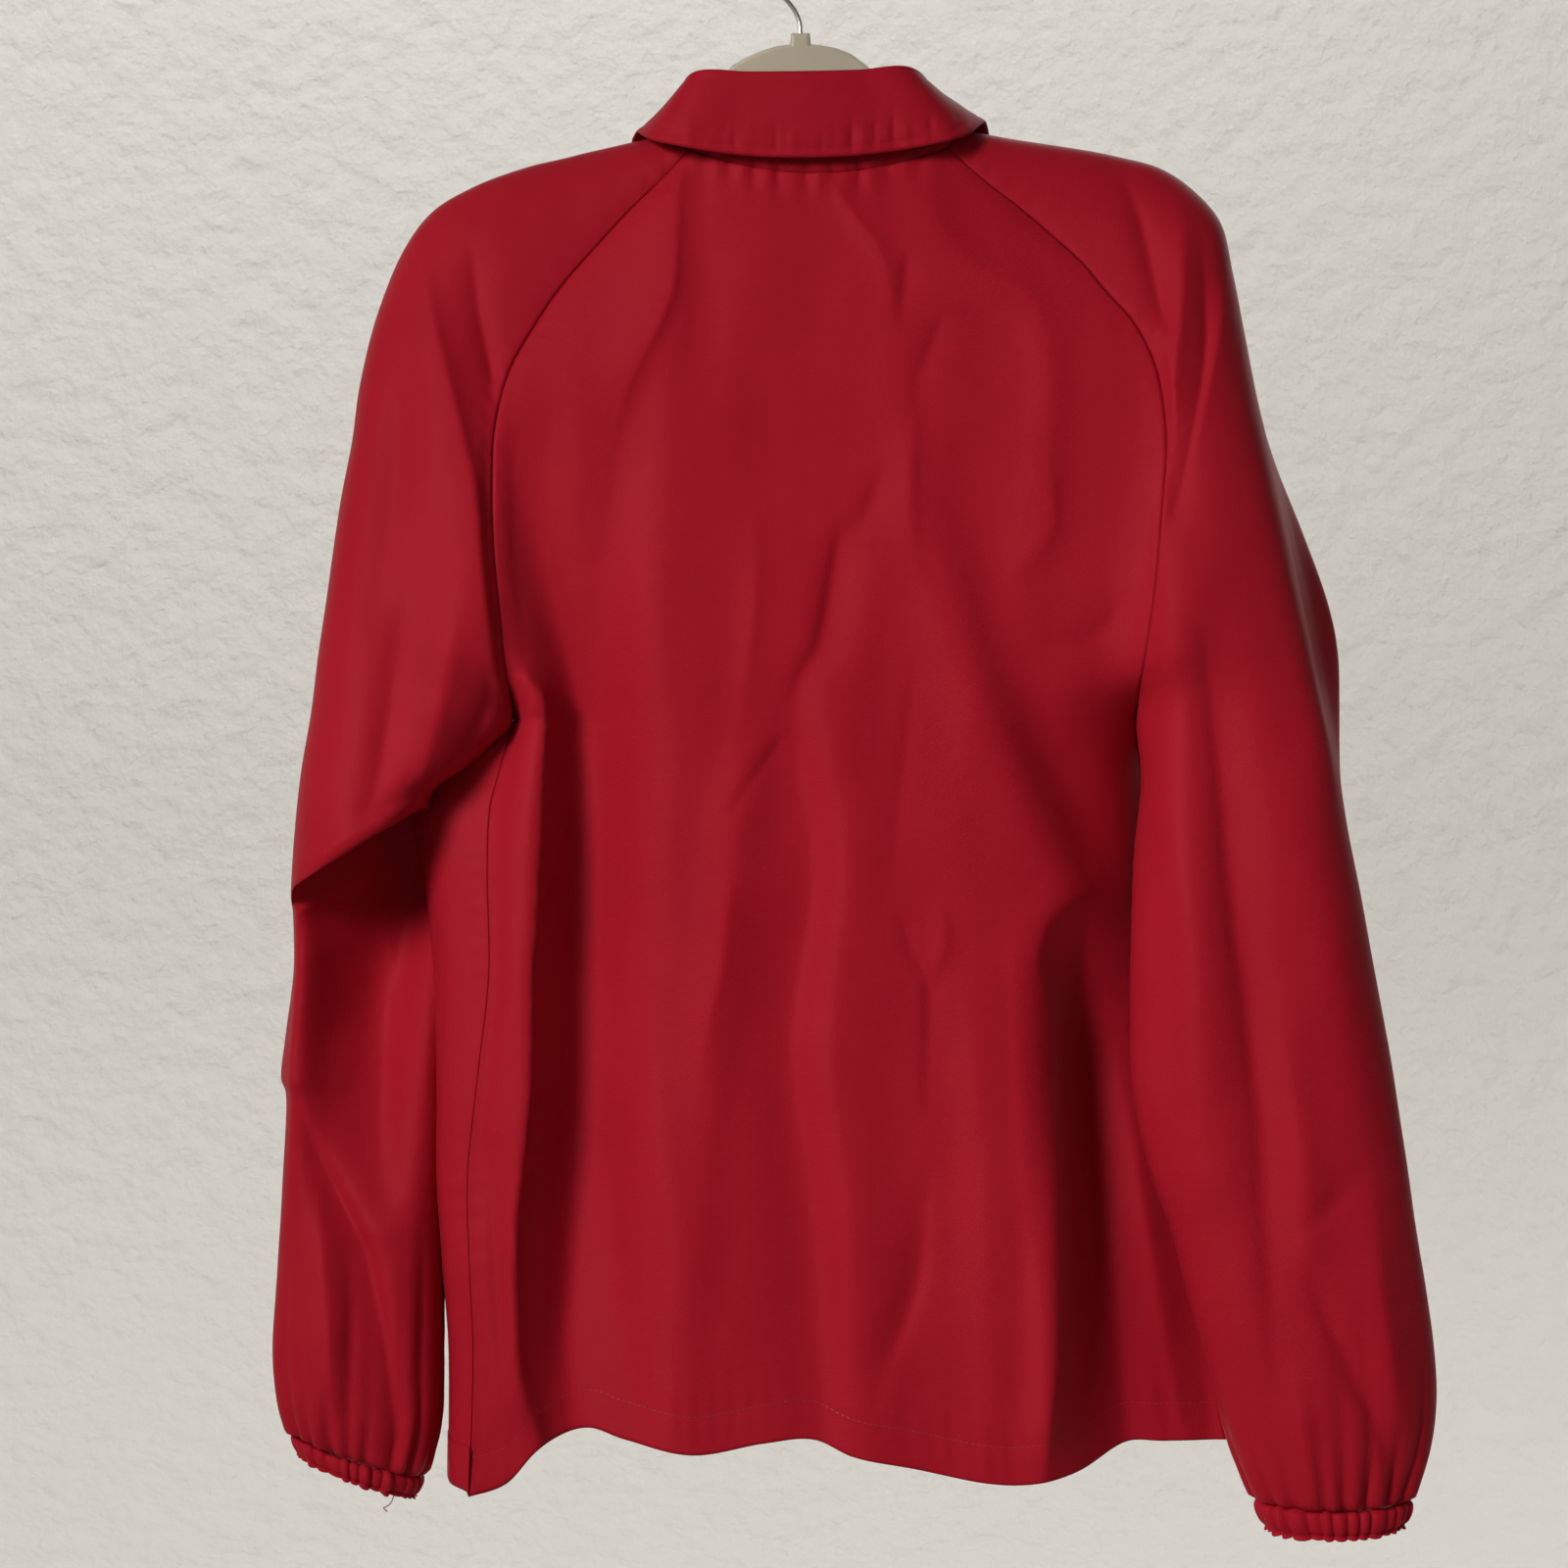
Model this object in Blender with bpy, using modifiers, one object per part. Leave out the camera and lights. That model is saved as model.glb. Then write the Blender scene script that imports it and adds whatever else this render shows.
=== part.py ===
"""A snap-front jacket on its hanger, seen from the back along +Y.

The origin is the inner top of the hanger's hook, +Z is up, and the jacket's
back faces -Y. Every table gives real sizes in millimetres: x to the viewer's
right of the hook, drop down from it, y towards the jacket's front.
"""

import bmesh
import bpy
import numpy as np

# Driving dimensions, in metres.
MM = 0.001
WALL = 0.0012  # cloth with its seam turnings
SEAM_GAP = 0.0004  # between two pieces at a seam
CORNER_GAP = 0.0007  # more where a seam turns a corner, so that the walls' insides stay apart
LAP = 0.012  # each front past the closure's middle line
LAP_LIFT = 0.0020  # the upper front over the lower one
CLOSURE_X = 0.008
FRONT_NECK_DROP = 0.187
FRONT_HEM_DROP = 0.795
NECK_DIP = 0.014  # the back neck seam sags between the raglan seams
EDGE_REACH = 0.05  # share of the back's width over which it leaves its seam's depth

# Counts of faces.
BACK_COLUMNS = 28
FRONT_COLUMNS = 12
SLEEVE_COLUMNS = 22
SIDE_ROWS = 13
UNDERARM_ROW = 12  # the sleeve sections' row at the underarm

# Sleeve sections from the neck to the cuff. Each is an oval from the outer
# edge to the seam side, open by the spread each way until it closes at 180.
# outer_x, outer_drop, seam_x, seam_drop, middle_y, half_depth, spread_degrees
LEFT_SLEEVE = (
    (-68, 112, -58, 123, 0, 28, 90),
    (-91, 117, -74, 140, 0, 30, 90),
    (-118, 123, -91, 157, 0, 32, 90),
    (-147, 130, -108, 176, 0, 35, 90),
    (-173, 140, -125, 196, -1, 38, 90),
    (-196, 154, -139, 217, -2, 41, 90),
    (-212, 176, -153, 243, -4, 44, 90),
    (-225, 209, -160, 273, -7, 47, 92),
    (-234, 247, -161, 304, -10, 49, 95),
    (-238, 278, -160, 335, -14, 50, 100),
    (-244, 312, -157, 366, -19, 49, 110),
    (-249, 351, -154, 398, -27, 46, 130),
    (-254, 392, -151, 426, -38, 42, 180),
    (-258, 424, -161, 438, -40, 42, 180),
    (-263, 455, -175, 451, -42, 42, 180),
    (-266, 486, -190, 461, -44, 41, 180),
    (-268, 516, -201, 471, -46, 40, 180),
    (-269, 531, -196, 487, -24, 33, 180),
    (-269, 559, -191, 528, -22, 34, 180),
    (-273, 593, -190, 575, -22, 35, 180),
    (-275, 615, -189, 612, -24, 35, 180),
    (-272, 628, -188, 634, -26, 34, 180),
    (-274, 674, -188, 673, -28, 35, 180),
    (-276, 715, -188, 715, -30, 36, 180),
    (-278, 756, -188, 758, -32, 37, 180),
    (-275, 784, -190, 796, -33, 33, 180),
    (-269, 802, -199, 825, -34, 22, 180),
)
RIGHT_SLEEVE = (
    (89, 110, 79, 122, 0, 28, 90),
    (117, 115, 98, 139, 0, 30, 90),
    (149, 120, 117, 154, 0, 32, 90),
    (171, 124, 134, 169, 0, 35, 90),
    (193, 130, 150, 184, -1, 38, 90),
    (211, 142, 163, 200, -2, 41, 90),
    (226, 160, 178, 218, -4, 44, 90),
    (232, 187, 189, 244, -7, 47, 92),
    (238, 221, 193, 280, -11, 50, 96),
    (244, 255, 190, 320, -16, 52, 102),
    (254, 304, 186, 361, -22, 51, 113),
    (264, 356, 181, 398, -27, 47, 132),
    (274, 403, 179, 426, -30, 42, 180),
    (283, 447, 181, 458, -41, 39, 180),
    (289, 482, 177, 496, -46, 40, 180),
    (296, 521, 175, 538, -52, 38, 180),
    (304, 566, 174, 580, -57, 36, 180),
    (312, 612, 175, 621, -60, 35, 180),
    (318, 652, 184, 663, -62, 35, 180),
    (323, 688, 195, 694, -63, 36, 180),
    (329, 725, 203, 726, -64, 37, 180),
    (333, 756, 211, 755, -64, 38, 180),
    (334, 782, 218, 782, -64, 36, 180),
    (330, 808, 227, 809, -64, 30, 180),
    (321, 833, 239, 833, -64, 21, 180),
)
# The right sleeve's slack cloth, thrown out behind its outer edge.
# middle_row, rows_wide, angle_degrees, degrees_wide, rise
SLACK = (11.3, 1.6, 24, 20, 22)

# The side seams from the underarm to the hem, and how far the fronts swing
# out beyond them before they turn to the front.
# left_drop, left_x, left_y, left_out, right_drop, right_x, right_y, right_out
SIDE_SEAMS = (
    (426, -151, -38, 0, 426, 179, -30, 0),
    (440, -155, -44, 13, 447, 182, -17, 3),
    (456, -159, -50, 33, 474, 187, -10, 9),
    (474, -163, -56, 39, 505, 191, -6, 12),
    (506, -164, -61, 31, 540, 195, -5, 14),
    (560, -163, -65, 28, 582, 199, -3, 15),
    (615, -169, -66, 21, 628, 204, -2, 15),
    (665, -174, -67, 16, 676, 210, -1, 14),
    (712, -173, -69, 18, 722, 215, 0, 12),
    (760, -171, -70, 19, 768, 220, 1, 10),
    (832, -173, -72, 18, 808, 227, 2, 7),
)
# drop, back_y, front_y
TRUNK = (
    (120, -34, 33),
    (200, -50, 42),
    (300, -60, 47),
    (430, -66, 50),
    (520, -68, 53),
    (620, -70, 56),
    (720, -72, 58),
    (840, -74, 60),
)
# A front's plan from its seam to the closure, as shares: how far across, how
# much of the swing and how much of the depth.
FRONT_REACH = (0.0, 0.01, 0.04, 0.16, 0.5, 1.0)
FRONT_SWING = (0.0, 0.7, 1.0, 0.85, 0.2, 0.0)
FRONT_DEPTH = (0.0, 0.12, 0.5, 0.9, 1.0, 1.0)
# x, drop of the back's hem
HEM = (
    (-173, 833), (-153, 826), (-135, 807), (-112, 798), (-90, 804), (-55, 811),
    (-19, 805), (7, 803), (29, 812), (60, 818), (95, 825), (120, 826),
    (148, 820), (173, 808), (194, 808), (227, 808),
)

# Folds: each a soft ridge (rise over 0) or trough along a bowed line.
# x_top, drop_top, x_low, drop_low, bow, width, rise
BACK_FOLDS = (
    (-150, 250, -114, 900, 18, 20, -20),
    (-137, 400, -144, 900, 0, 9, 9),
    (-61, 100, -84, 340, 3, 9, -4),
    (-90, 180, -98, 420, 0, 16, 4),
    (14, 110, 50, 240, 0, 10, 4),
    (67, 105, 120, 260, 0, 10, 4),
    (105, 150, 128, 350, 10, 12, 5),
    (37, 300, -4, 440, 0, 7, -5),
    (-3, 380, -20, 900, -8, 13, -9),
    (14, 350, 24, 900, -6, 17, 6),
    (70, 450, 54, 800, 4, 9, -5),
    (92, 370, 152, 560, 0, 10, -7),
    (92, 560, 118, 900, 0, 22, 9),
    (150, 480, 164, 900, 0, 15, -7),
    (-60, 640, -56, 900, 0, 15, 7),
)
FRONT_FOLDS = (
    (-92, 160, -70, 520, 6, 16, 7),
    (-120, 330, -128, 900, 0, 18, -12),
    (-60, 420, -72, 900, -6, 18, 8),
    (62, 180, 96, 480, 0, 14, -6),
    (104, 380, 128, 900, 6, 18, 9),
    (158, 460, 166, 900, 0, 16, -9),
    (60, 500, 74, 900, 0, 15, -6),
)
LEFT_SLEEVE_FOLDS = (
    (-203, 150, -150, 400, 0, 9, 8),
    (-176, 165, -152, 300, 0, 8, -7),
    (-262, 600, -210, 840, 12, 9, 6),
    (-238, 620, -200, 840, 10, 8, -6),
    (-246, 330, -214, 480, 0, 12, -4),
)
RIGHT_SLEEVE_FOLDS = (
    (176, 130, 197, 230, 0, 7, -5),
    (204, 150, 192, 310, 0, 7, 5),
    (215, 170, 196, 340, 4, 7, -6),
    (223, 200, 203, 330, 0, 7, 5),
    (196, 370, 211, 700, -4, 8, 6),
    (211, 380, 248, 800, -3, 9, -7),
    (262, 480, 300, 760, 0, 14, 5),
)

# The collar ring, from the closure round the wearer's left, behind the neck
# and back to the closure, at equal steps along the neck seam.
# fold_x, fold_y, fold_drop, edge_x, edge_y, edge_drop
COLLAR = (
    (6, 42, 177, -38, 53, 216),
    (-25, 40, 147, -64, 52, 184),
    (-50, 31, 117, -87, 43, 142),
    (-59, 2, 98, -88, 2, 112),
    (-51, -31, 87, -73, -40, 120),
    (-26, -38, 85, -35, -45, 127),
    (3, -40, 85, 6, -47, 129),
    (32, -38, 84, 46, -45, 126),
    (55, -31, 84, 84, -40, 118),
    (69, 2, 93, 101, 2, 106),
    (63, 31, 116, 101, 44, 138),
    (40, 40, 147, 79, 52, 184),
    (10, 41, 177, 54, 52, 216),
)
COLLAR_ROWS = 4
COLLAR_ROLL = 0.003  # from the stand's outer face to the fall's at the fold
COLLAR_SWELL = 0.001  # the fall stands off a straight line from fold to edge

# Cuffs: the oval of the casing at its top and bottom edges.
# outer_x, outer_drop, inner_x, inner_drop, middle_y, half_depth
LEFT_CUFF = ((-269, 803, -199, 826, -34, 22), (-266, 815, -203, 838, -35, 20))
RIGHT_CUFF = ((321, 834, 239, 834, -64, 21), (317, 849, 245, 850, -64, 20))
LEFT_NOD = 0.002  # how much lower each cuff hangs on its back
RIGHT_NOD = 0.005
CUFF_GATHERS = 26
CUFF_WAVE = 0.0011
CUFF_SIDES_A_GATHER = 3

SNAPS = 6
SNAP_RADIUS = 0.0065
SNAP_HEIGHT = 0.0024
SNAP_TOP_DROP = 0.210
SNAP_LOW_DROP = 0.768

# The hanger: the hump's outline and the arms under the shoulder cloth.
# x, drop
HUMP = (
    (-54, 98), (-40, 80), (-35, 75), (-28, 71), (-20, 67.5), (-12, 65), (-4.5, 64),
    (-4, 58), (6, 58), (6.5, 64), (12, 64.5), (20, 66), (28, 69), (36, 75), (56, 92),
    (76, 105),
)
ARM_SECTIONS = 5  # the sleeve rows that rest on an arm
ARM_CLEARANCE = 0.0010
ARM_HEIGHT_MIDDLE = 0.026
ARM_HEIGHT_END = 0.013
HANGER_THICKNESS = 0.012
HANGER_EDGE = 0.002

# The wire hook, round the origin's support.
WIRE_RADIUS = 0.0014
HOOK_RADIUS = 0.020
HOOK_START = 232
HOOK_END = -28
STEM = ((1.0, 57.6), (0.9, 54), (0.5, 46), (-6.0, 39.3))

CLOTH_RED = (0.33, 0.012, 0.024)
SNAP_RED = (0.26, 0.012, 0.022)
PUTTY = (0.42, 0.38, 0.30)
STEEL = (0.60, 0.59, 0.57)


def smooth_rows(table, places):
    """Rows between a table's rows, on a curve that passes through all of them."""
    table = np.asarray(table, float)
    places = np.asarray(places, float)
    last = len(table) - 1
    first = np.clip(np.floor(places).astype(int), 0, last - 1)
    share = (places - first).reshape((-1,) + (1,) * (table.ndim - 1))
    before, start, end, after = (table[np.clip(first + step, 0, last)] for step in (-1, 0, 1, 2))
    bend = 3 * start - before - 3 * end + after
    lean = 2 * before - 5 * start + 4 * end - after
    return start + 0.5 * share * (end - before + share * (lean + share * bend))


def eased(values, reach):
    """The mean of each value and its neighbours this far away, the ends held."""
    padded = np.pad(values, ((reach, reach), (0, 0)), "edge")
    return sum(padded[step : step + len(values)] for step in range(2 * reach + 1)) / (2 * reach + 1)


def fold_height(x, drop, folds):
    """Sum of the folds' heights: a bell across each line, fading out at both its ends."""
    height = np.zeros_like(x)
    for x_top, drop_top, x_low, drop_low, bow, width, rise in folds:
        share = (drop / MM - drop_top) / (drop_low - drop_top)
        line = x_top + (x_low - x_top) * share + 4 * bow * share * (1 - share)
        fade = np.clip(4 * share, 0, 1) * np.clip(4 * (1 - share), 0, 1)
        height += rise * MM * fade * np.exp(-(((x / MM - line) / width) ** 2))
    return height


def placed(x, y, drop):
    return np.stack(np.broadcast_arrays(x, y, -drop), axis=-1)


def sleeve_grid(sections, folds, nod, slack=None):
    """The sleeve's outer face: a row a section, a column round each oval from back to front seam."""
    rows = np.asarray(sections, float)
    outer, seam = rows[:, 0:2] * MM, rows[:, 2:4] * MM
    middle_y, half_depth = rows[:, 4:5] * MM, rows[:, 5:6] * MM
    spread = np.radians(rows[:, 6:7])
    arm = (outer - seam) / (1 - np.cos(spread))
    around = np.linspace(-1, 1, SLEEVE_COLUMNS + 1)
    angle = spread * around
    reach = np.cos(angle)
    if slack:
        middle_row, rows_wide, slack_angle, degrees_wide, rise = slack
        along = (np.arange(len(rows))[:, None] - middle_row) / rows_wide
        across = (np.degrees(angle) - slack_angle) / degrees_wide
        reach = reach + rise * MM / np.abs(arm[:, 0:1]) * np.exp(-(along**2) - across**2)
    middle = outer - arm
    x = middle[:, 0:1] + arm[:, 0:1] * reach
    near_cuff = np.clip((np.arange(len(rows))[:, None] - len(rows) + 4) / 3, 0, 1)
    drop = middle[:, 1:2] + arm[:, 1:2] * np.cos(angle) - nod * near_cuff * np.sin(angle)
    off_seam = np.clip(6 * (1 - np.abs(around)), 0, 1)
    facing = np.sin(angle)
    lift = fold_height(x, drop, folds) * off_seam * np.sqrt(np.clip(np.abs(facing), 0, 1))
    y = middle_y + half_depth * facing + np.sign(facing) * lift
    return placed(x, y, drop)


def side_edges(seams, sleeve, column, side):
    """A panel's edge: down the sleeve's raglan seam, then down the side seam; and the swing there."""
    first = 0 if side < 0 else 4
    places = np.linspace(0, len(seams) - 1, SIDE_ROWS + 1)[1:]
    rows = smooth_rows(seams, places) * MM
    drop, x, y, out = rows[:, first : first + 4].T
    edge = np.concatenate([sleeve[: UNDERARM_ROW + 1, column], placed(x, y, drop)])
    swing = np.concatenate([np.zeros(UNDERARM_ROW + 1), out])
    return edge, swing


def trunk_depth(drop, column):
    levels = np.asarray(TRUNK, float) * MM
    return np.interp(drop, levels[:, 0], levels[:, column])


def lower_share(rows):
    """0 down to the underarm, then rising to 1 at the hem."""
    below = (np.arange(rows) - UNDERARM_ROW) / SIDE_ROWS
    return np.clip(below, 0, 1)[:, None]


def near_underarm(rows):
    """1 at the underarm's row, falling to 0 two rows away."""
    return np.clip(1 - np.abs(np.arange(rows) - UNDERARM_ROW) / 2, 0, 1)[:, None]


def back_grid(left, right):
    """The back's outer face between its two edges, hung with its folds."""
    across = np.linspace(0, 1, BACK_COLUMNS + 1)
    across = 0.65 * across + 0.35 * (0.5 - 0.5 * np.cos(np.pi * across))
    gap = np.array([SEAM_GAP, 0, 0])
    behind = near_underarm(len(left)) * np.array([0, CORNER_GAP, 0])
    left = (left + gap - behind)[:, None]
    right = (right - gap - behind)[:, None]
    flat = left + (right - left) * across[None, :, None]
    x, edge_y, drop = flat[..., 0], flat[..., 1], -flat[..., 2]
    rows = len(flat)
    upper = (1 - np.arange(rows) / (rows - 1))[:, None]
    drop = drop + NECK_DIP * upper**3 * (1 - (2 * across - 1) ** 2)
    hem = np.asarray(HEM, float) * MM
    drop = drop + (np.interp(x[-1], hem[:, 0], hem[:, 1]) - drop[-1]) * lower_share(rows) ** 2
    wide = np.abs(2 * across - 1) ** 4
    near = np.exp(-np.minimum(across, 1 - across) / EDGE_REACH)
    base = trunk_depth(drop, 1)
    slow_y = eased(edge_y, 4)
    y = base + (slow_y - base) * wide + (edge_y - slow_y) * near
    off_seam = np.clip(np.minimum(across, 1 - across) / EDGE_REACH, 0, 1)
    y = y - fold_height(x, drop, BACK_FOLDS) * off_seam
    return placed(x, y, drop)


def front_grid(edge, swing, side):
    """A front's outer face, from its side to the closure and its lap past it."""
    rows = len(edge)
    on_side_seam = (swing > 0)[:, None]
    edge = edge + np.where(on_side_seam, side * CORNER_GAP, -side * SEAM_GAP) * np.array([1, 0, 0])
    edge = edge + (on_side_seam + near_underarm(rows)) * np.array([0, CORNER_GAP, 0])
    closure_drop = np.linspace(FRONT_NECK_DROP, FRONT_HEM_DROP, rows)[:, None]
    places = np.linspace(0, len(FRONT_REACH) - 1, FRONT_COLUMNS + 1)
    plan = smooth_rows(np.stack([FRONT_REACH, FRONT_SWING, FRONT_DEPTH], axis=1), places)
    reach, swung, deep = (share[None, :] for share in plan.T)
    fall = np.clip(reach, 0, 1) ** (1 - 0.6 * lower_share(rows))
    x = edge[:, 0:1] + (CLOSURE_X - edge[:, 0:1]) * reach + side * swing[:, None] * swung
    drop = -edge[:, 2:3] + (closure_drop + edge[:, 2:3]) * fall
    y = edge[:, 1:2] + (trunk_depth(drop, 2) - edge[:, 1:2]) * deep
    off_edge = np.clip(reach / 0.1, 0, 1) * np.clip((1 - reach) / 0.25, 0, 1)
    y = y + fold_height(x, drop, FRONT_FOLDS) * off_edge
    y = y + LAP_LIFT * reach * (side < 0)
    lap = np.stack([x[:, -1] - side * LAP, y[:, -1], -drop[:, -1]], axis=-1)
    return np.concatenate([placed(x, y, drop), lap[:, None]], axis=1)


def neck_ring(back, fronts, sleeves):
    """The top edges in one line round the neck, each piece's shared corners taken once."""
    left = [fronts[0][0, FRONT_COLUMNS:0:-1], sleeves[0][0, ::-1][:-1]]
    right = [sleeves[1][0][:-1], fronts[1][0, : FRONT_COLUMNS + 1]]
    ring = np.concatenate(left + [back[0][:-1]] + right)
    return ring[::2]


def collar_grids(ring):
    """The collar's stand up from the neck seam, and its fall from the fold down outside."""
    steps = np.linalg.norm(np.diff(ring, axis=0), axis=1)
    along = np.concatenate([[0], np.cumsum(steps)]) / steps.sum()
    stations = smooth_rows(np.asarray(COLLAR, float) * MM, along * (len(COLLAR) - 1))
    fold = placed(stations[:, 0], stations[:, 1], stations[:, 2])
    edge = placed(stations[:, 3], stations[:, 4], stations[:, 5])
    heading = np.gradient(fold, axis=0)
    outward = placed(heading[:, 1], -heading[:, 0], 0)
    outward = outward / np.linalg.norm(outward, axis=1)[:, None]
    foot = ring + np.array([0, 0, CORNER_GAP])
    stand = np.stack([fold, (fold + foot) / 2, foot])
    top = fold + outward * COLLAR_ROLL
    down = np.linspace(0, 1, COLLAR_ROWS + 1)[:, None, None]
    swell = COLLAR_SWELL * np.sin(np.pi * down) * outward
    return stand, top + (edge - top) * down + swell


def cuff_grid(ovals, nod):
    """A casing's outer face, its radius rising and falling with the gathers."""
    rows = smooth_rows(ovals, np.linspace(0, 1, 3)) * MM
    angle = np.linspace(-np.pi, np.pi, CUFF_GATHERS * CUFF_SIDES_A_GATHER + 1)
    wave = CUFF_WAVE * np.cos(CUFF_GATHERS * angle)
    middle = (rows[:, 0:2] + rows[:, 2:4]) / 2
    arm = (rows[:, 0:2] - rows[:, 2:4]) / 2
    grow = 1 + wave / np.linalg.norm(arm, axis=1)[:, None]
    x = middle[:, 0:1] + arm[:, 0:1] * np.cos(angle) * grow
    drop = middle[:, 1:2] + arm[:, 1:2] * np.cos(angle) * grow - nod * np.sin(angle)
    y = rows[:, 4:5] + (rows[:, 5:6] + wave) * np.sin(angle)
    return placed(x, y, drop)


def finish(name, colour, roughness, metallic):
    material = bpy.data.materials.new(name)
    material.use_nodes = True
    shader = material.node_tree.nodes["Principled BSDF"]
    shader.inputs["Base Color"].default_value = (*colour, 1)
    shader.inputs["Roughness"].default_value = roughness
    shader.inputs["Metallic"].default_value = metallic
    return material


def show(name, data, collection, material):
    data.materials.append(material)
    made = bpy.data.objects.new(name, data)
    collection.objects.link(made)
    return made


def cloth(name, grid, collection, facing):
    """A wall of cloth on a grid of its outer face's points; columns that meet are joined."""
    rows, columns = grid.shape[:2]
    builder = bmesh.new()
    corners = [[builder.verts.new(point) for point in row] for row in grid.tolist()]
    for row in range(rows - 1):
        for column in range(columns - 1):
            upper, lower = corners[row], corners[row + 1]
            face = [upper[column], lower[column], lower[column + 1], upper[column + 1]]
            builder.faces.new(face[::facing])
    bmesh.ops.remove_doubles(builder, verts=builder.verts, dist=0.00001)
    mesh = bpy.data.meshes.new(name)
    builder.to_mesh(mesh)
    builder.free()
    mesh.shade_smooth()
    made = show(name, mesh, collection, finish(name, CLOTH_RED, 0.45, 0.0))
    wall = made.modifiers.new("Wall", "SOLIDIFY")
    wall.thickness = WALL
    wall.offset = -1
    return made


def snap_caps(front, collection):
    """A row of caps down the closure, each just off the upper front."""
    line = front[:, FRONT_COLUMNS]
    for number, drop in enumerate(np.linspace(SNAP_TOP_DROP, SNAP_LOW_DROP, SNAPS), 1):
        y = np.interp(drop, -line[:, 2], line[:, 1])
        bpy.ops.mesh.primitive_cylinder_add(
            vertices=16, radius=SNAP_RADIUS, depth=SNAP_HEIGHT, rotation=(np.pi / 2, 0, 0)
        )
        cap = bpy.context.object
        cap.name = f"snap_{number}"
        cap.location = (CLOSURE_X, y + SEAM_GAP + SNAP_HEIGHT / 2, -drop)
        cap.data.materials.append(finish(cap.name, SNAP_RED, 0.3, 0.0))
        rim = cap.modifiers.new("Rim", "BEVEL")
        rim.width = SNAP_HEIGHT / 3
        rim.segments = 1
        for holder in list(cap.users_collection):
            holder.objects.unlink(cap)
        collection.objects.link(cap)


def hanger_outline(sleeves):
    """The hump, each arm's top just inside the shoulder cloth, and the underside back again."""
    under = WALL + ARM_CLEARANCE
    middle = SLEEVE_COLUMNS // 2
    left, right = (
        [(x, -z + under) for x, _, z in sleeve[:ARM_SECTIONS, middle].tolist()] for sleeve in sleeves
    )
    top = left[::-1] + [(x * MM, drop * MM) for x, drop in HUMP] + right
    reach = max(abs(x) for x, _ in top)
    low = []
    for x, drop in left[::-1] + [(0, HUMP[4][1] * MM + 0.012)] + right:
        share = abs(x) / reach
        low.append((x, drop + ARM_HEIGHT_MIDDLE + (ARM_HEIGHT_END - ARM_HEIGHT_MIDDLE) * share))
    return top + low[::-1]


def hanger_body(sleeves, collection):
    """The moulded hanger: its outline, extruded to its thickness with rounded edges."""
    curve = bpy.data.curves.new("hanger_body", "CURVE")
    curve.dimensions = "2D"
    curve.fill_mode = "BOTH"
    curve.bevel_depth = HANGER_EDGE
    curve.bevel_resolution = 1
    curve.extrude = HANGER_THICKNESS / 2 - HANGER_EDGE
    curve.offset = -HANGER_EDGE
    outline = hanger_outline(sleeves)
    spline = curve.splines.new("POLY")
    spline.points.add(len(outline) - 1)
    for point, (x, drop) in zip(spline.points, outline):
        point.co = (x, -drop, 0, 1)
    spline.use_cyclic_u = True
    body = show("hanger_body", curve, collection, finish("hanger_body", PUTTY, 0.5, 0.0))
    body.rotation_euler = (np.pi / 2, 0, 0)


def hook_route():
    """Up the stem, over to one side and round over the top, as x and drop."""
    middle_drop = HOOK_RADIUS - WIRE_RADIUS
    angle = np.radians(np.linspace(HOOK_START, HOOK_END, 26))
    loop = np.stack([HOOK_RADIUS * np.cos(angle), middle_drop - HOOK_RADIUS * np.sin(angle)], axis=1)
    stem = np.asarray(STEM, float) * MM
    share = np.linspace(0, 1, 10)[:-1, None]
    bend = [(1 - share) ** 3, 3 * share * (1 - share) ** 2, 3 * share**2 * (1 - share), share**3]
    corners = [stem[1], stem[2], stem[3], loop[0]]
    rise = sum(weight * corner for weight, corner in zip(bend, corners))
    return np.concatenate([stem[:1], rise, loop])


def hanger_hook(collection):
    curve = bpy.data.curves.new("hanger_hook", "CURVE")
    curve.dimensions = "3D"
    curve.bevel_depth = WIRE_RADIUS
    curve.bevel_resolution = 2
    curve.use_fill_caps = True
    route = hook_route()
    spline = curve.splines.new("POLY")
    spline.points.add(len(route) - 1)
    for point, (x, drop) in zip(spline.points, route):
        point.co = (x, 0, -drop, 1)
    show("hanger_hook", curve, collection, finish("hanger_hook", STEEL, 0.3, 1.0))


def build():
    for old in list(bpy.data.objects):
        bpy.data.objects.remove(old)
    collection = bpy.data.collections.new("snap_front_jacket")
    bpy.context.scene.collection.children.link(collection)

    sleeves = (
        sleeve_grid(LEFT_SLEEVE, LEFT_SLEEVE_FOLDS, LEFT_NOD),
        sleeve_grid(RIGHT_SLEEVE, RIGHT_SLEEVE_FOLDS, RIGHT_NOD, SLACK),
    )
    left_back, _ = side_edges(SIDE_SEAMS, sleeves[0], 0, -1)
    right_back, _ = side_edges(SIDE_SEAMS, sleeves[1], 0, 1)
    left_front = side_edges(SIDE_SEAMS, sleeves[0], -1, -1)
    right_front = side_edges(SIDE_SEAMS, sleeves[1], -1, 1)
    back = back_grid(left_back, right_back)
    fronts = (front_grid(*left_front, -1), front_grid(*right_front, 1))

    cloth("back_panel", back, collection, 1)
    cloth("front_left", fronts[0], collection, -1)
    cloth("front_right", fronts[1], collection, 1)
    cloth("sleeve_left", sleeves[0], collection, -1)
    cloth("sleeve_right", sleeves[1], collection, 1)
    cloth("cuff_left", cuff_grid(LEFT_CUFF, LEFT_NOD), collection, -1)
    cloth("cuff_right", cuff_grid(RIGHT_CUFF, RIGHT_NOD), collection, 1)
    stand, fall = collar_grids(neck_ring(back, fronts, sleeves))
    cloth("collar_stand", stand, collection, 1)
    cloth("collar_fall", fall, collection, 1)
    snap_caps(fronts[0], collection)
    hanger_body(sleeves, collection)
    hanger_hook(collection)


build()
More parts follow.
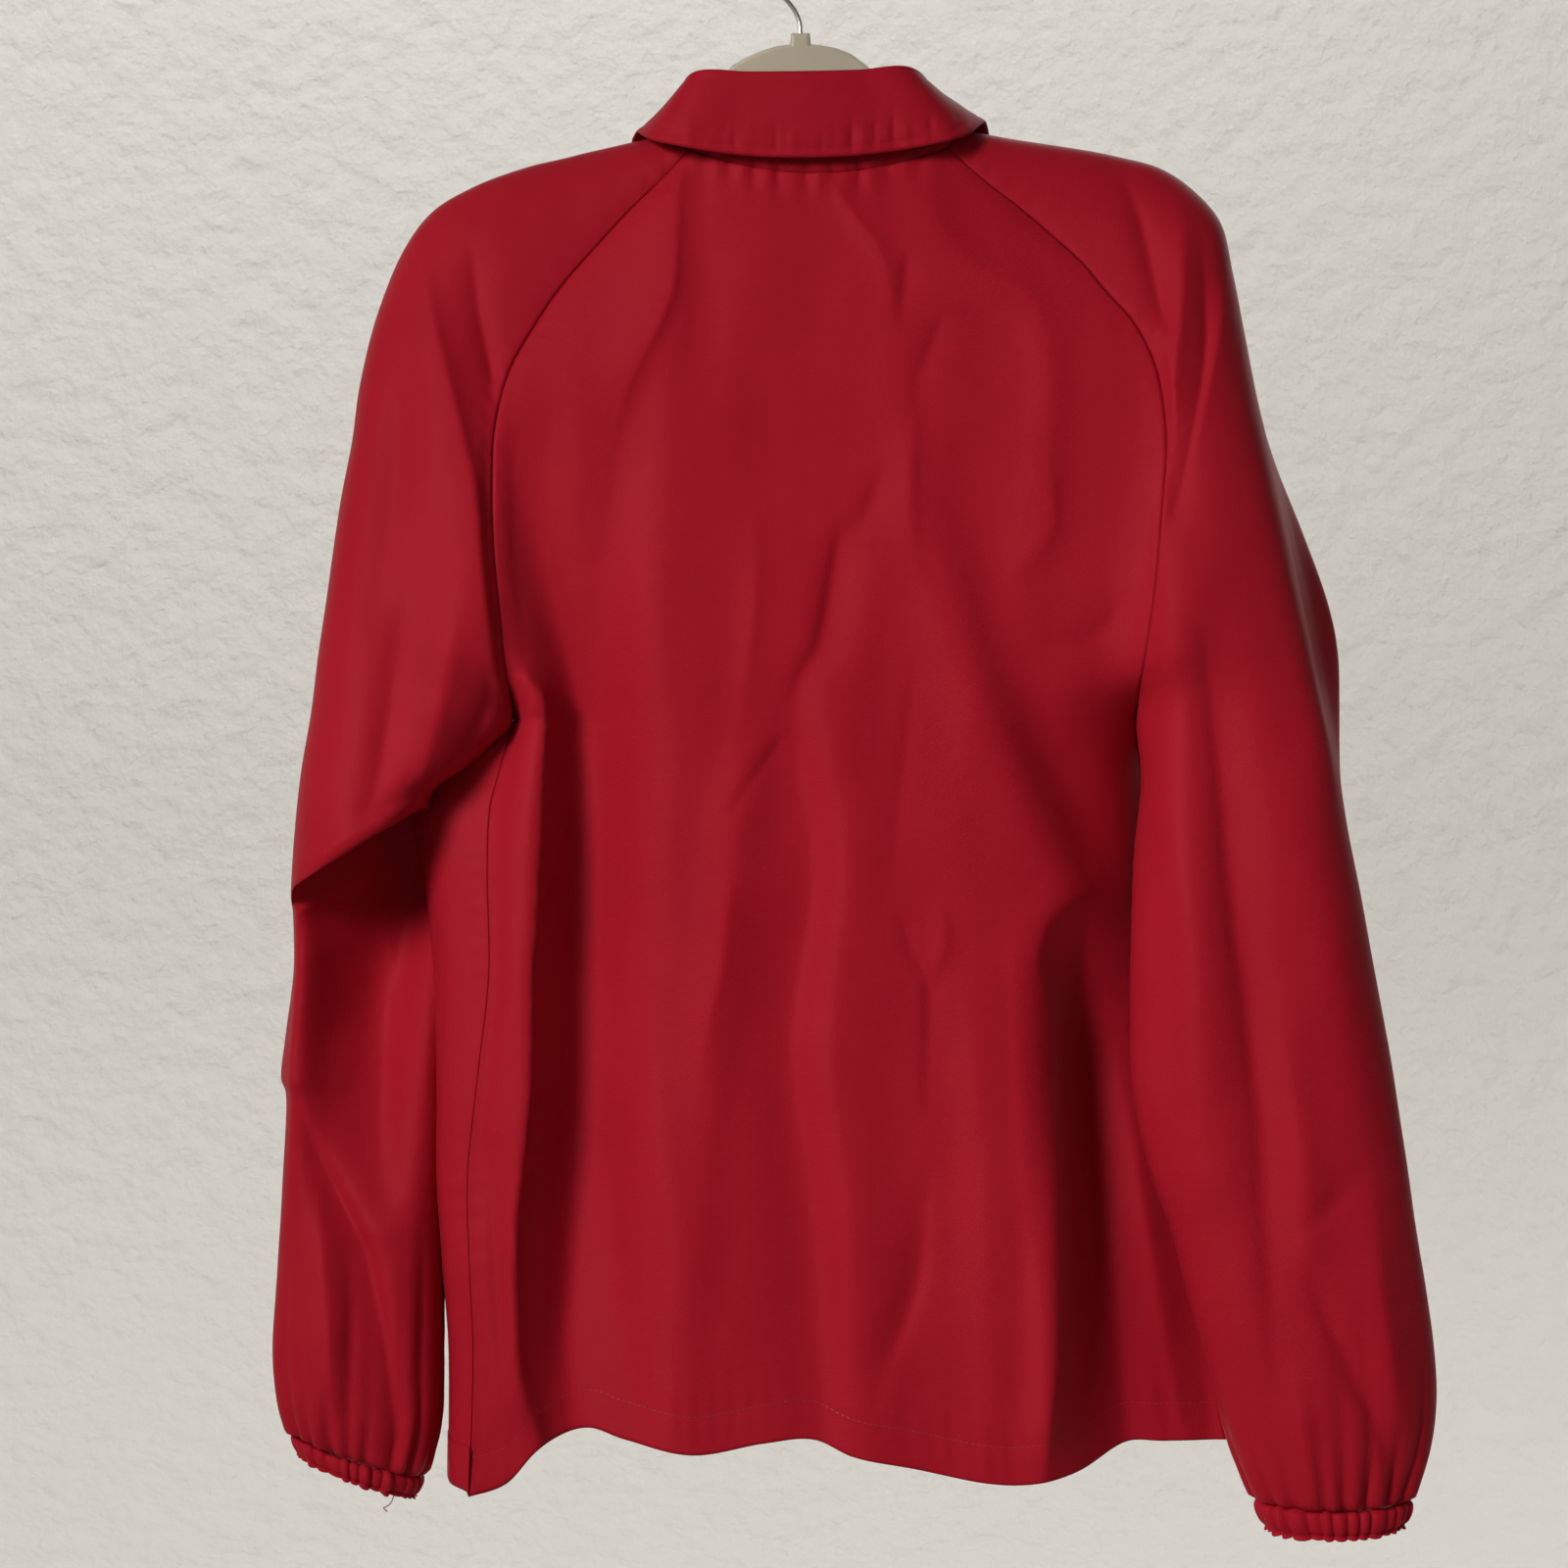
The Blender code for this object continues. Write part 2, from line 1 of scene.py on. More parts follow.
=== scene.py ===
"""A red nylon jacket on its hanger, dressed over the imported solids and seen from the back.

Sizes are in metres; tables are in millimetres, x to the right of the hook, drop down from
it and y towards the jacket's front, as in the part's own source.
"""
import math

import bmesh
import bpy
import numpy as np
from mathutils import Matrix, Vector


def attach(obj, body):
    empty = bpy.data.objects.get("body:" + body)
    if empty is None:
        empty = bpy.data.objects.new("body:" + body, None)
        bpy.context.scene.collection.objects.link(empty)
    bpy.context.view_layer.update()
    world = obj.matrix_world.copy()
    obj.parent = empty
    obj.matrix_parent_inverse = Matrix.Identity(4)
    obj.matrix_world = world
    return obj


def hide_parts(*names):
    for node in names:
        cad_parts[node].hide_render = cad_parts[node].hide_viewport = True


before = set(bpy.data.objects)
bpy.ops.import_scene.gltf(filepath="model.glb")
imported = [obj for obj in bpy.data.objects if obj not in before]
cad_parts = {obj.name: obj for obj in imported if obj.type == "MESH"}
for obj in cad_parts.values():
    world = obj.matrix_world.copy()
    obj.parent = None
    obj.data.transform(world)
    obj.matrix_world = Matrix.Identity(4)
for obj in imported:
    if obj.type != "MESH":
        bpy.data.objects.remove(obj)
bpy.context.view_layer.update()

MM = 0.001

# ---------------------------------------------------------------------------
# The view. The photograph looks straight at the back from about three metres,
# level with the middle of the jacket.
# ---------------------------------------------------------------------------
EYE = (-0.0078, -3.0, -0.4599)
FRAME_WIDTH = 0.832  # what the square picture takes in at the back's depth
BACK_DEPTH = -0.030
SENSOR = 36.0


def in_scene(name, data):
    """A new object in the scene."""
    made = bpy.data.objects.new(name, data)
    bpy.context.scene.collection.objects.link(made)
    return made


camera_data = bpy.data.cameras.new("photo_view")
camera_data.sensor_width = SENSOR
camera_data.lens = SENSOR * (BACK_DEPTH - EYE[1]) / FRAME_WIDTH
camera_data.clip_end = 50
camera = in_scene("photo_view", camera_data)
camera.location = EYE
camera.rotation_euler = (math.pi / 2, 0, 0)
bpy.context.scene.camera = camera
bpy.context.scene.view_settings.view_transform = "Standard"

# ---------------------------------------------------------------------------
# The hanger: a putty-coloured plastic moulding and its drawn wire hook. Both
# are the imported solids; the moulding is satin, faintly mottled and grained.
# ---------------------------------------------------------------------------
PUTTY = (0.63, 0.565, 0.435)
PUTTY_DARK = (0.53, 0.475, 0.365)
STEEL = (0.56, 0.54, 0.50)


def new_material(name, **values):
    """A Principled material with named sockets set, its node tree and its shader."""
    made = bpy.data.materials.new(name)
    made.use_nodes = True
    shader = made.node_tree.nodes["Principled BSDF"]
    for key, value in values.items():
        shader.inputs[key.replace("_", " ")].default_value = value
    return made, made.node_tree, shader


def node(tree, kind, **values):
    """A node with named sockets or settings set."""
    made = tree.nodes.new("ShaderNode" + kind)
    for key, value in values.items():
        if hasattr(made, key):
            setattr(made, key, value)
        else:
            made.inputs[key.replace("_", " ")].default_value = value
    return made


def grain(tree, source, scale, detail, stretch=(1, 1, 1)):
    """Noise read from a coordinate output, stretched along its axes."""
    mapping = node(tree, "Mapping")
    mapping.inputs["Scale"].default_value = stretch
    tree.links.new(source, mapping.inputs["Vector"])
    made = node(tree, "TexNoise", Scale=scale, Detail=detail)
    tree.links.new(mapping.outputs[0], made.inputs["Vector"])
    return made.outputs["Fac"]


def bump(tree, height, distance, strength, under=None):
    """A bump layer over the one below it."""
    made = node(tree, "Bump", Distance=distance, Strength=strength)
    tree.links.new(height, made.inputs["Height"])
    if under is not None:
        tree.links.new(under, made.inputs["Normal"])
    return made.outputs["Normal"]


def mixed(tree, factor, low, high):
    """A colour between two, by a 0 to 1 value."""
    ramp = node(tree, "ValToRGB")
    ramp.color_ramp.elements[0].position = 0.3
    ramp.color_ramp.elements[1].position = 0.7
    ramp.color_ramp.elements[0].color = (*low, 1)
    ramp.color_ramp.elements[1].color = (*high, 1)
    tree.links.new(factor, ramp.inputs["Fac"])
    return ramp.outputs["Color"]


def object_place(tree):
    """Where a point lies on its object, in metres."""
    return node(tree, "TexCoord").outputs["Object"]


def finish_solid(name, material):
    """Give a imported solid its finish."""
    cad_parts[name].data.materials.clear()
    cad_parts[name].data.materials.append(material)


putty, tree, shader = new_material("putty_moulding", Roughness=0.48)
place = object_place(tree)
tree.links.new(mixed(tree, grain(tree, place, 14, 3), PUTTY_DARK, PUTTY), shader.inputs["Base Color"])
tree.links.new(bump(tree, grain(tree, place, 900, 2), 0.0001, 0.25), shader.inputs["Normal"])
steel, tree, shader = new_material("drawn_wire", Roughness=0.32, Metallic=1.0, Base_Color=(*STEEL, 1))
drawn = grain(tree, object_place(tree), 600, 2, (1, 1, 0.1))
tree.links.new(bump(tree, drawn, 0.0001, 0.2), shader.inputs["Normal"])
finish_solid("hanger_body", putty)
finish_solid("hanger_hook", steel)

# ---------------------------------------------------------------------------
# The sleeves: raglan cut from the neck to the cuff in thin satin nylon. The
# left one folds over itself below the underarm; the right one hangs straight,
# its slack thrown out behind the elbow. Both are gathered onto their cuffs.
# ---------------------------------------------------------------------------
CLOTH = 0.0004
UNDERARM = 12  # section at the underarm
SLEEVE_AROUND = 120
SLEEVE_STEP = 0.0026  # between rows down a sleeve
SLEEVE_FLATNESS = 0.85  # power on an oval's depth; the lower, the flatter its front and back
# Pleats above each cuff, how high and long they are, and how far the sleeve's end is drawn in under it.
PLEATS, PLEAT_HEIGHT, PLEAT_REACH, DRAWN_IN = 19, 0.0072, 0.036, 0.0035
# The gathers beside a seam: height, pitch and reach; and the groove in its line: depth and width.
SEAM_GATHERS = (0.0006, 0.013, 0.008)
SEAM_GROOVE = (0.0003, 0.0015)
SLEEVE_WAVES = ((0.0009, 0.085, 11), (0.0004, 0.034, 21))  # height, size and seed of its unevenness
SIDEWAYS = 0.45  # share of a crease's height that also moves the cloth sideways and down
# outer_x, outer_drop, seam_x, seam_drop, middle_y, half_depth, spread_degrees
LEFT_SLEEVE = (
    (-68, 112, -58, 123, 0, 28, 90), (-91, 117, -74, 140, 0, 30, 90),
    (-118, 123, -91, 157, 0, 32, 90), (-147, 130, -108, 176, 0, 35, 90),
    (-173, 140, -125, 196, -1, 38, 90), (-196, 154, -139, 217, -2, 41, 90),
    (-212, 176, -153, 243, -4, 44, 90), (-225, 209, -160, 273, -7, 47, 92),
    (-234, 247, -161, 304, -10, 49, 95), (-238, 278, -160, 335, -14, 50, 100),
    (-244, 312, -157, 366, -19, 49, 110), (-249, 351, -154, 398, -27, 46, 130),
    (-254, 392, -151, 426, -38, 42, 180), (-258, 424, -161, 438, -40, 42, 180),
    (-263, 455, -175, 451, -43, 43, 180), (-266, 486, -190, 461, -45, 44, 180),
    (-268, 516, -195, 471, -44, 45, 180), (-269, 531, -190, 487, -20, 30, 180),
    (-269, 559, -189, 528, -18, 32, 180), (-273, 593, -189, 575, -18, 35, 180),
    (-275, 615, -189, 612, -24, 35, 180), (-272, 628, -188, 634, -26, 34, 180),
    (-274, 674, -188, 673, -28, 35, 180), (-276, 715, -188, 715, -30, 36, 180),
    (-278, 756, -188, 758, -32, 37, 180), (-275, 784, -190, 796, -33, 33, 180),
    (-268, 805, -200, 828, -34, 22, 180),
)
RIGHT_SLEEVE = (
    (89, 110, 79, 122, 0, 28, 90), (117, 115, 98, 139, 0, 30, 90),
    (149, 120, 117, 154, 0, 32, 90), (171, 124, 134, 169, 0, 35, 90),
    (193, 130, 150, 184, -1, 38, 90), (211, 142, 163, 200, -2, 41, 90),
    (226, 160, 178, 218, -4, 44, 90), (232, 187, 189, 244, -7, 47, 92),
    (238, 221, 193, 280, -11, 50, 96), (244, 255, 190, 320, -16, 52, 102),
    (254, 304, 186, 361, -22, 51, 113), (264, 356, 181, 398, -27, 47, 132),
    (274, 403, 179, 426, -30, 42, 180), (283, 447, 181, 458, -41, 39, 180),
    (289, 482, 177, 496, -46, 40, 180), (296, 521, 175, 538, -52, 38, 180),
    (304, 566, 174, 580, -57, 36, 180), (312, 612, 175, 621, -60, 35, 180),
    (318, 652, 184, 663, -62, 35, 180), (323, 688, 195, 694, -63, 36, 180),
    (329, 725, 203, 726, -64, 37, 180), (333, 756, 211, 755, -64, 38, 180),
    (334, 782, 218, 782, -64, 36, 180), (330, 808, 227, 809, -64, 30, 180),
    (320, 836, 240, 836, -64, 21, 180),
)
# The right sleeve's slack: middle_row, rows_wide, angle_degrees, degrees_wide, rise.
SLACK = (11.3, 1.6, 24, 20, 22)
# The left sleeve's overhang: section of the fold's lip, how far it is tucked up behind, and its
# own finer rows, from and to in sections past the lip, and how many.
LIP, TUCK = 16, 0.020
LIP_FROM, LIP_TO, LIP_ROWS = -0.15, 1.1, 26
# How much lower each cuff hangs on its back.
NODS = {"left": 0.002, "right": 0.005}

# Creases seen on the back of each sleeve: left width, right width, then the
# places along it as x, drop, height (a ridge over 0, a trough under it).
LEFT_SLEEVE_BACK = (
    (26, 7, ((-201, 172, 1), (-192, 215, 4), (-180, 262, 7), (-171, 301, 8), (-167, 338, 8),
        (-163, 372, 8), (-157, 405, 5))),
    (5, 6, ((-174, 172, 0), (-170, 205, -4), (-163, 238, -5), (-156, 268, -2))),
    (9, 10, ((-205, 350, 0), (-212, 405, -4), (-218, 450, -5), (-226, 478, -2))),
    (8, 9, ((-176, 350, 0), (-185, 410, 4), (-196, 452, 3))),
    (5, 5, ((-164, 396, 0), (-163, 418, -3), (-172, 440, -3))),
    (14, 14, ((-226, 190, 0), (-232, 280, 3), (-240, 380, 2), (-246, 430, 0))),
    (9, 12, ((-214, 210, 0), (-212, 280, -3), (-218, 340, -2), (-226, 400, 0))),
    (20, 4, ((-262, 636, -2), (-252, 655, -6), (-240, 678, -9), (-227, 704, -10), (-219, 735, -10),
        (-214, 765, -8), (-211, 806, -4))),
    (10, 14, ((-222, 520, 0), (-214, 570, 5), (-210, 620, 4), (-204, 680, 2))),
    (7, 9, ((-256, 660, 0), (-250, 710, 4), (-247, 760, 4), (-252, 800, 1))),
    (6, 6, ((-238, 700, 0), (-235, 745, -4), (-237, 790, -3))),
    (5, 6, ((-198, 690, 0), (-198, 740, -3), (-203, 790, -2))),
)
# Under the left sleeve's fold its cloth stands out at the outer edge and sinks in from there.
LEFT_RECESS = (
    (5, 14, ((-267, 505, 10), (-267, 535, 15), (-267, 575, 16), (-268, 610, 12), (-269, 645, 7),
        (-270, 690, 0))),
    (34, 20, ((-208, 478, -28), (-211, 520, -42), (-217, 560, -44), (-221, 600, -38), (-222, 645, -22),
        (-222, 695, -3))),
)
RIGHT_SLEEVE_BACK = (
    (6, 7, ((172, 136, -1), (182, 165, -5), (190, 204, -5), (196, 226, 0))),
    (8, 8, ((204, 150, 1), (202, 200, 5), (197, 250, 5), (192, 300, 0))),
    (6, 7, ((214, 165, 0), (215, 225, -5), (208, 270, -5), (197, 318, -2))),
    (7, 7, ((226, 190, 0), (221, 225, 4), (211, 268, 4), (203, 305, 0))),
    (11, 16, ((196, 330, 0), (197, 389, 5), (196, 472, 6), (202, 522, 6), (206, 588, 5), (211, 666, 2))),
    (7, 20, ((210, 370, 0), (217, 430, -5), (223, 505, -7), (231, 572, -7), (238, 633, -6),
        (242, 699, -5), (247, 775, -2))),
    (14, 6, ((240, 250, 0), (258, 330, 4), (268, 390, 6), (277, 440, 4), (284, 480, 0))),
    (6, 8, ((292, 664, 0), (276, 678, -3), (256, 696, 0))),
    (6, 10, ((260, 708, 0), (272, 734, -4), (288, 770, -5), (303, 800, -4), (309, 834, -2))),
    (9, 10, ((298, 640, 0), (300, 700, 3), (306, 760, 4), (314, 800, 1))),
    (5, 7, ((256, 760, 0), (262, 800, 4), (268, 828, 3))),
    (16, 16, ((262, 430, 0), (274, 520, 4), (286, 600, 4), (296, 660, 0))),
    (10, 12, ((246, 560, 0), (258, 640, 4), (262, 690, 3), (258, 740, 0))),
)
# The same kinds of crease on their fronts.
LEFT_SLEEVE_FRONT = (
    (14, 10, ((-150, 170, 0), (-168, 240, 5), (-178, 320, 6), (-176, 390, 3))),
    (8, 9, ((-186, 190, 0), (-196, 270, -4), (-204, 350, -4), (-200, 430, 0))),
    (12, 20, ((-256, 470, 0), (-236, 540, 6), (-226, 620, 6), (-228, 700, 2))),
    (8, 12, ((-214, 560, 0), (-212, 640, -4), (-216, 740, -4), (-220, 800, -1))),
    (8, 8, ((-244, 660, 0), (-246, 740, 4), (-248, 800, 1))),
)
RIGHT_SLEEVE_FRONT = (
    (10, 12, ((170, 150, 0), (190, 220, 5), (200, 300, 5), (200, 380, 2))),
    (8, 8, ((206, 170, 0), (222, 250, -4), (230, 330, -4), (232, 400, 0))),
    (14, 18, ((210, 440, 0), (222, 540, 6), (236, 640, 6), (250, 740, 2))),
    (9, 12, ((252, 480, 0), (266, 580, -5), (280, 680, -5), (286, 780, -1))),
    (7, 9, ((300, 600, 0), (306, 700, 4), (304, 790, 1))),
)


def between(table, places):
    """Rows between a table's rows, on the cubic that passes through all of them."""
    table = np.asarray(table, float)
    places = np.asarray(places, float)
    last = len(table) - 1
    first = np.clip(np.floor(places).astype(int), 0, last - 1)
    share = (places - first).reshape((-1,) + (1,) * (table.ndim - 1))
    before, start, end, after = (table[np.clip(first + step, 0, last)] for step in (-1, 0, 1, 2))
    bend = 3 * start - before - 3 * end + after
    lean = 2 * before - 5 * start + 4 * end - after
    return start + 0.5 * share * (end - before + share * (lean + share * bend))


def evenly(table, count):
    """This many rows spaced evenly over a table, its ends among them."""
    return between(table, np.linspace(0, len(table) - 1, count))


def smooth(low, high, value):
    """0 up to low and 1 from high, eased between."""
    share = np.clip((value - low) / (high - low), 0, 1)
    return share * share * (3 - 2 * share)


CREASE_STEP = 1.2  # between points of a crease's line, in millimetres
CREASE_REACH = 2.6  # widths from its line that a crease is worked out to
CRISP, ROUND = 5, 14  # widths in millimetres at which a crease's side is crisp and quite round
CREST = 0.01  # rounds the top of a crisp crease


def crease_height(x, drop, creases):
    """Sum over the creases of height times exp(-a ** power), with a the distance from its curve
    in its widths, which differ left and right; the power is 1 on a narrow side, whose edge is
    crisp, and 2 on a wide one."""
    height = np.zeros_like(x)
    for left, right, points in creases:
        span = np.abs(np.diff(np.asarray(points, float)[:, :2], axis=0)).sum()
        line = evenly(points, int(span / CREASE_STEP) + 8)
        heading = np.gradient(line[:, :2], axis=0)
        heading /= np.linalg.norm(heading, axis=1)[:, None]
        reach = CREASE_REACH * max(left, right)
        low, high = line[:, :2].min(0) - reach, line[:, :2].max(0) + reach
        px, pd = x / MM, drop / MM
        near = (px > low[0]) & (px < high[0]) & (pd > low[1]) & (pd < high[1])
        place = np.stack([px[near], pd[near]], axis=1)
        if not len(place):
            continue
        apart = ((place[:, None] - line[None, :, :2]) ** 2).sum(-1)
        nearest = apart.argmin(1)
        offset = place - line[nearest, :2]
        at_end = (nearest == 0) | (nearest == len(line) - 1)
        along = (offset * heading[nearest]).sum(1) * at_end
        across = offset[:, 0] * heading[nearest, 1] - offset[:, 1] * heading[nearest, 0]
        width = left + (right - left) * smooth(-1.5, 1.5, across)
        a = np.sqrt((across / width) ** 2 + (2 * along / (left + right)) ** 2 + CREST)
        power = 1 + smooth(CRISP, ROUND, width)
        height[near] += line[nearest, 2] * MM * np.exp(-(a**power))
    return height


def ripple(a, b, seed, size):
    """Soft uneven waves: the mean of eight sines, each with its own pitch, lean and drift."""
    chance = np.random.default_rng(seed)
    total = np.zeros(np.broadcast(a, b).shape)
    for _ in range(8):
        pitch = size * chance.uniform(0.6, 1.6)
        lean = chance.uniform(-0.6, 0.6)
        drift = np.sin(b / (size * chance.uniform(2.2, 4)) + chance.uniform(0, 6)) * chance.uniform(0.5, 1.6)
        total += np.sin(2 * np.pi * (a + lean * b) / pitch + drift + chance.uniform(0, 6))
    return total / 8


def bell(away, width):
    """exp(-(away / width) squared): 1 on a line, near 0 two widths from it."""
    return np.exp(-((away / width) ** 2))


def groove(away, depth, width):
    """A line pressed in by stitches, as a height below the cloth's face."""
    return -depth * bell(away, width)


def pucker(along, away, pitch, reach, seed):
    """Small gathers beside a seam: uneven waves along it, none in the seam, that die out away
    from it."""
    chance = np.random.default_rng(seed)
    slow = 0.6 * np.sin(along / (pitch * 2.7) + chance.uniform(0, 6))
    warp = pitch * (slow + 0.5 * np.sin(along / (pitch * 6.1)))
    wave = np.sin(2 * np.pi * (along + warp) / pitch) * (0.6 + 0.4 * np.sin(along / (pitch * 1.9) + 1))
    return wave * np.exp(-((away / reach) ** 1.5)) * (1 - bell(away, 0.003))


def beside_seam(run, away, seed):
    """The cloth's height near a seam: its small gathers and the groove in its line."""
    height, pitch, reach = SEAM_GATHERS
    return height * pucker(run, away, pitch, reach, seed) + groove(away, *SEAM_GROOVE)


def placed(x, y, drop):
    """Points from x, y and the drop below the hook."""
    return np.stack(np.broadcast_arrays(x, y, -drop), axis=-1)


def sleeve_form(sections, places, around, nod, slack=None):
    """The sleeve's outer face on sections along it and shares around it from back seam to
    front seam: each section is an oval open by its spread, flattened front and back."""
    rows = between(sections, places)
    outer, seam = rows[:, 0:2] * MM, rows[:, 2:4] * MM
    middle_y, half_depth = rows[:, 4:5] * MM, rows[:, 5:6] * MM
    spread = np.radians(np.clip(rows[:, 6:7], 90, 180))
    spread = np.where(places[:, None] >= UNDERARM, np.pi, spread)
    arm = (outer - seam) / (1 - np.cos(spread))
    angle = spread * around
    reach = np.cos(angle)
    if slack:
        middle_row, rows_wide, slack_angle, degrees_wide, rise = slack
        along = (places[:, None] - middle_row) / rows_wide
        across = (np.degrees(angle) - slack_angle) / degrees_wide
        reach = reach + rise * MM / np.abs(arm[:, 0:1]) * np.exp(-(along**2) - across**2)
    middle = outer - arm
    near_cuff = np.clip((places[:, None] - len(sections) + 4) / 3, 0, 1)
    x = middle[:, 0:1] + arm[:, 0:1] * reach
    drop = middle[:, 1:2] + arm[:, 1:2] * np.cos(angle) - nod * near_cuff * np.sin(angle)
    facing = np.sin(angle)
    y = middle_y + half_depth * np.sign(facing) * np.abs(facing) ** SLEEVE_FLATNESS
    return x, y, drop, facing


def lengths(grid, axis):
    """Running length of a grid's lines along one axis, or of a single line of points."""
    steps = np.linalg.norm(np.diff(grid, axis=axis), axis=-1)
    start = np.zeros_like(np.take(steps, [0], axis=axis))
    return np.concatenate([start, np.cumsum(steps, axis=axis)], axis=axis)


def lengths_left(grid, axis):
    """Length from each point of a grid's lines to their far end."""
    run = lengths(grid, axis)
    return np.take(run, [-1], axis=axis) - run


def section_places(sections, step):
    """Places along a sleeve about one step apart down its middle."""
    fine = np.linspace(0, len(sections) - 1, 2000)
    rows = between(sections, fine)
    middle = np.stack([(rows[:, 0] + rows[:, 2]) / 2, (rows[:, 1] + rows[:, 3]) / 2], axis=1) * MM
    run = lengths(middle, 0)
    return np.interp(np.linspace(0, run[-1], int(run[-1] / step)), run, fine)


def gathers(around, above, count, amplitude, reach, seed):
    """Pleats that run up from a cuff: rounded ridges around it, each with its own height and
    length, between sharp valleys."""
    chance = np.random.default_rng(seed)
    warped = count * (around + 0.012 * np.sin(6 * np.pi * around + 1) + 0.006 * np.sin(16 * np.pi * around))
    number = np.floor(warped).astype(int) % count
    high = chance.uniform(0.5, 1.0, count)[number]
    long = chance.uniform(0.35, 1.5, count)[number] * reach
    ridge = np.abs(np.sin(np.pi * warped)) ** 0.75 - 0.45
    return amplitude * high * ridge * np.exp(-((above / long) ** 1.2))


def surface_normals(grid):
    """Unit normals of a grid's surface, from its two directions crossed."""
    down = np.gradient(grid, axis=0)
    across = np.gradient(grid, axis=1)
    normal = np.cross(down, across)
    return normal / np.maximum(np.linalg.norm(normal, axis=-1), 1e-12)[..., None]


def cloth_mesh(name, grid, facing, material, wall=CLOTH):
    """A grid of points made one thin piece of cloth, its UV map its own lengths in metres;
    facing -1 turns its faces over."""
    rows, columns = grid.shape[:2]
    index = np.arange(rows * columns).reshape(rows, columns)
    quads = np.stack([index[:-1, :-1], index[1:, :-1], index[1:, 1:], index[:-1, 1:]], axis=-1)
    quads = quads.reshape(-1, 4)[:, ::facing]
    mesh = bpy.data.meshes.new(name)
    mesh.from_pydata(grid.reshape(-1, 3).tolist(), [], quads.tolist())
    flat = np.stack([lengths(grid, 1), lengths(grid, 0)], axis=-1).reshape(-1, 2)
    layer = mesh.uv_layers.new(name="cloth_lengths")
    layer.data.foreach_set("uv", flat[quads.ravel()].astype(np.float32).ravel())
    builder = bmesh.new()
    builder.from_mesh(mesh)
    bmesh.ops.remove_doubles(builder, verts=builder.verts, dist=0.000005)
    builder.to_mesh(mesh)
    builder.free()
    mesh.shade_smooth()
    mesh.materials.append(material)
    made = in_scene(name, mesh)
    shell = made.modifiers.new("Wall", "SOLIDIFY")
    shell.thickness = wall
    shell.offset = -1
    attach(made, "root")
    return made


# Satin nylon: a bright red whose faint shine is red too, with fine crossed
# threads and a slightly crinkled face.
RED = (0.43, 0.0115, 0.0245)
RED_DEEP = (0.39, 0.0085, 0.0205)
RED_SHINE = (1.0, 0.35, 0.42)
RED_SHEEN = (1.0, 0.20, 0.25)
THREAD_PITCH = 0.0009
WAVE_UNIT = 0.314  # a wave texture's pitch at scale 1


def nylon(name):
    """Two reds softly mottled, under a crinkle, slubs and two sets of threads across each other."""
    made, tree, shader = new_material(
        name, Roughness=0.50, Specular_IOR_Level=0.11, Specular_Tint=(*RED_SHINE, 1),
        Sheen_Weight=0.02, Sheen_Roughness=0.4, Sheen_Tint=(*RED_SHEEN, 1),
    )
    place = object_place(tree)
    lengths_uv = node(tree, "UVMap", uv_map="cloth_lengths").outputs[0]
    shade = mixed(tree, grain(tree, place, 9, 4), RED_DEEP, RED)
    tree.links.new(shade, shader.inputs["Base Color"])
    crinkle = bump(tree, grain(tree, place, 55, 5), 0.0012, 0.35)
    layer = bump(tree, grain(tree, lengths_uv, 120, 3, (0.35, 5, 1)), 0.0002, 0.45, crinkle)
    fine = WAVE_UNIT / THREAD_PITCH
    for direction, depth in (("X", 0.5), ("Y", 0.7)):
        threads = node(tree, "TexWave", bands_direction=direction, Scale=fine, Distortion=0.4)
        tree.links.new(lengths_uv, threads.inputs["Vector"])
        layer = bump(tree, threads.outputs["Fac"], 0.00005, depth, layer)
    tree.links.new(layer, shader.inputs["Normal"])
    return made


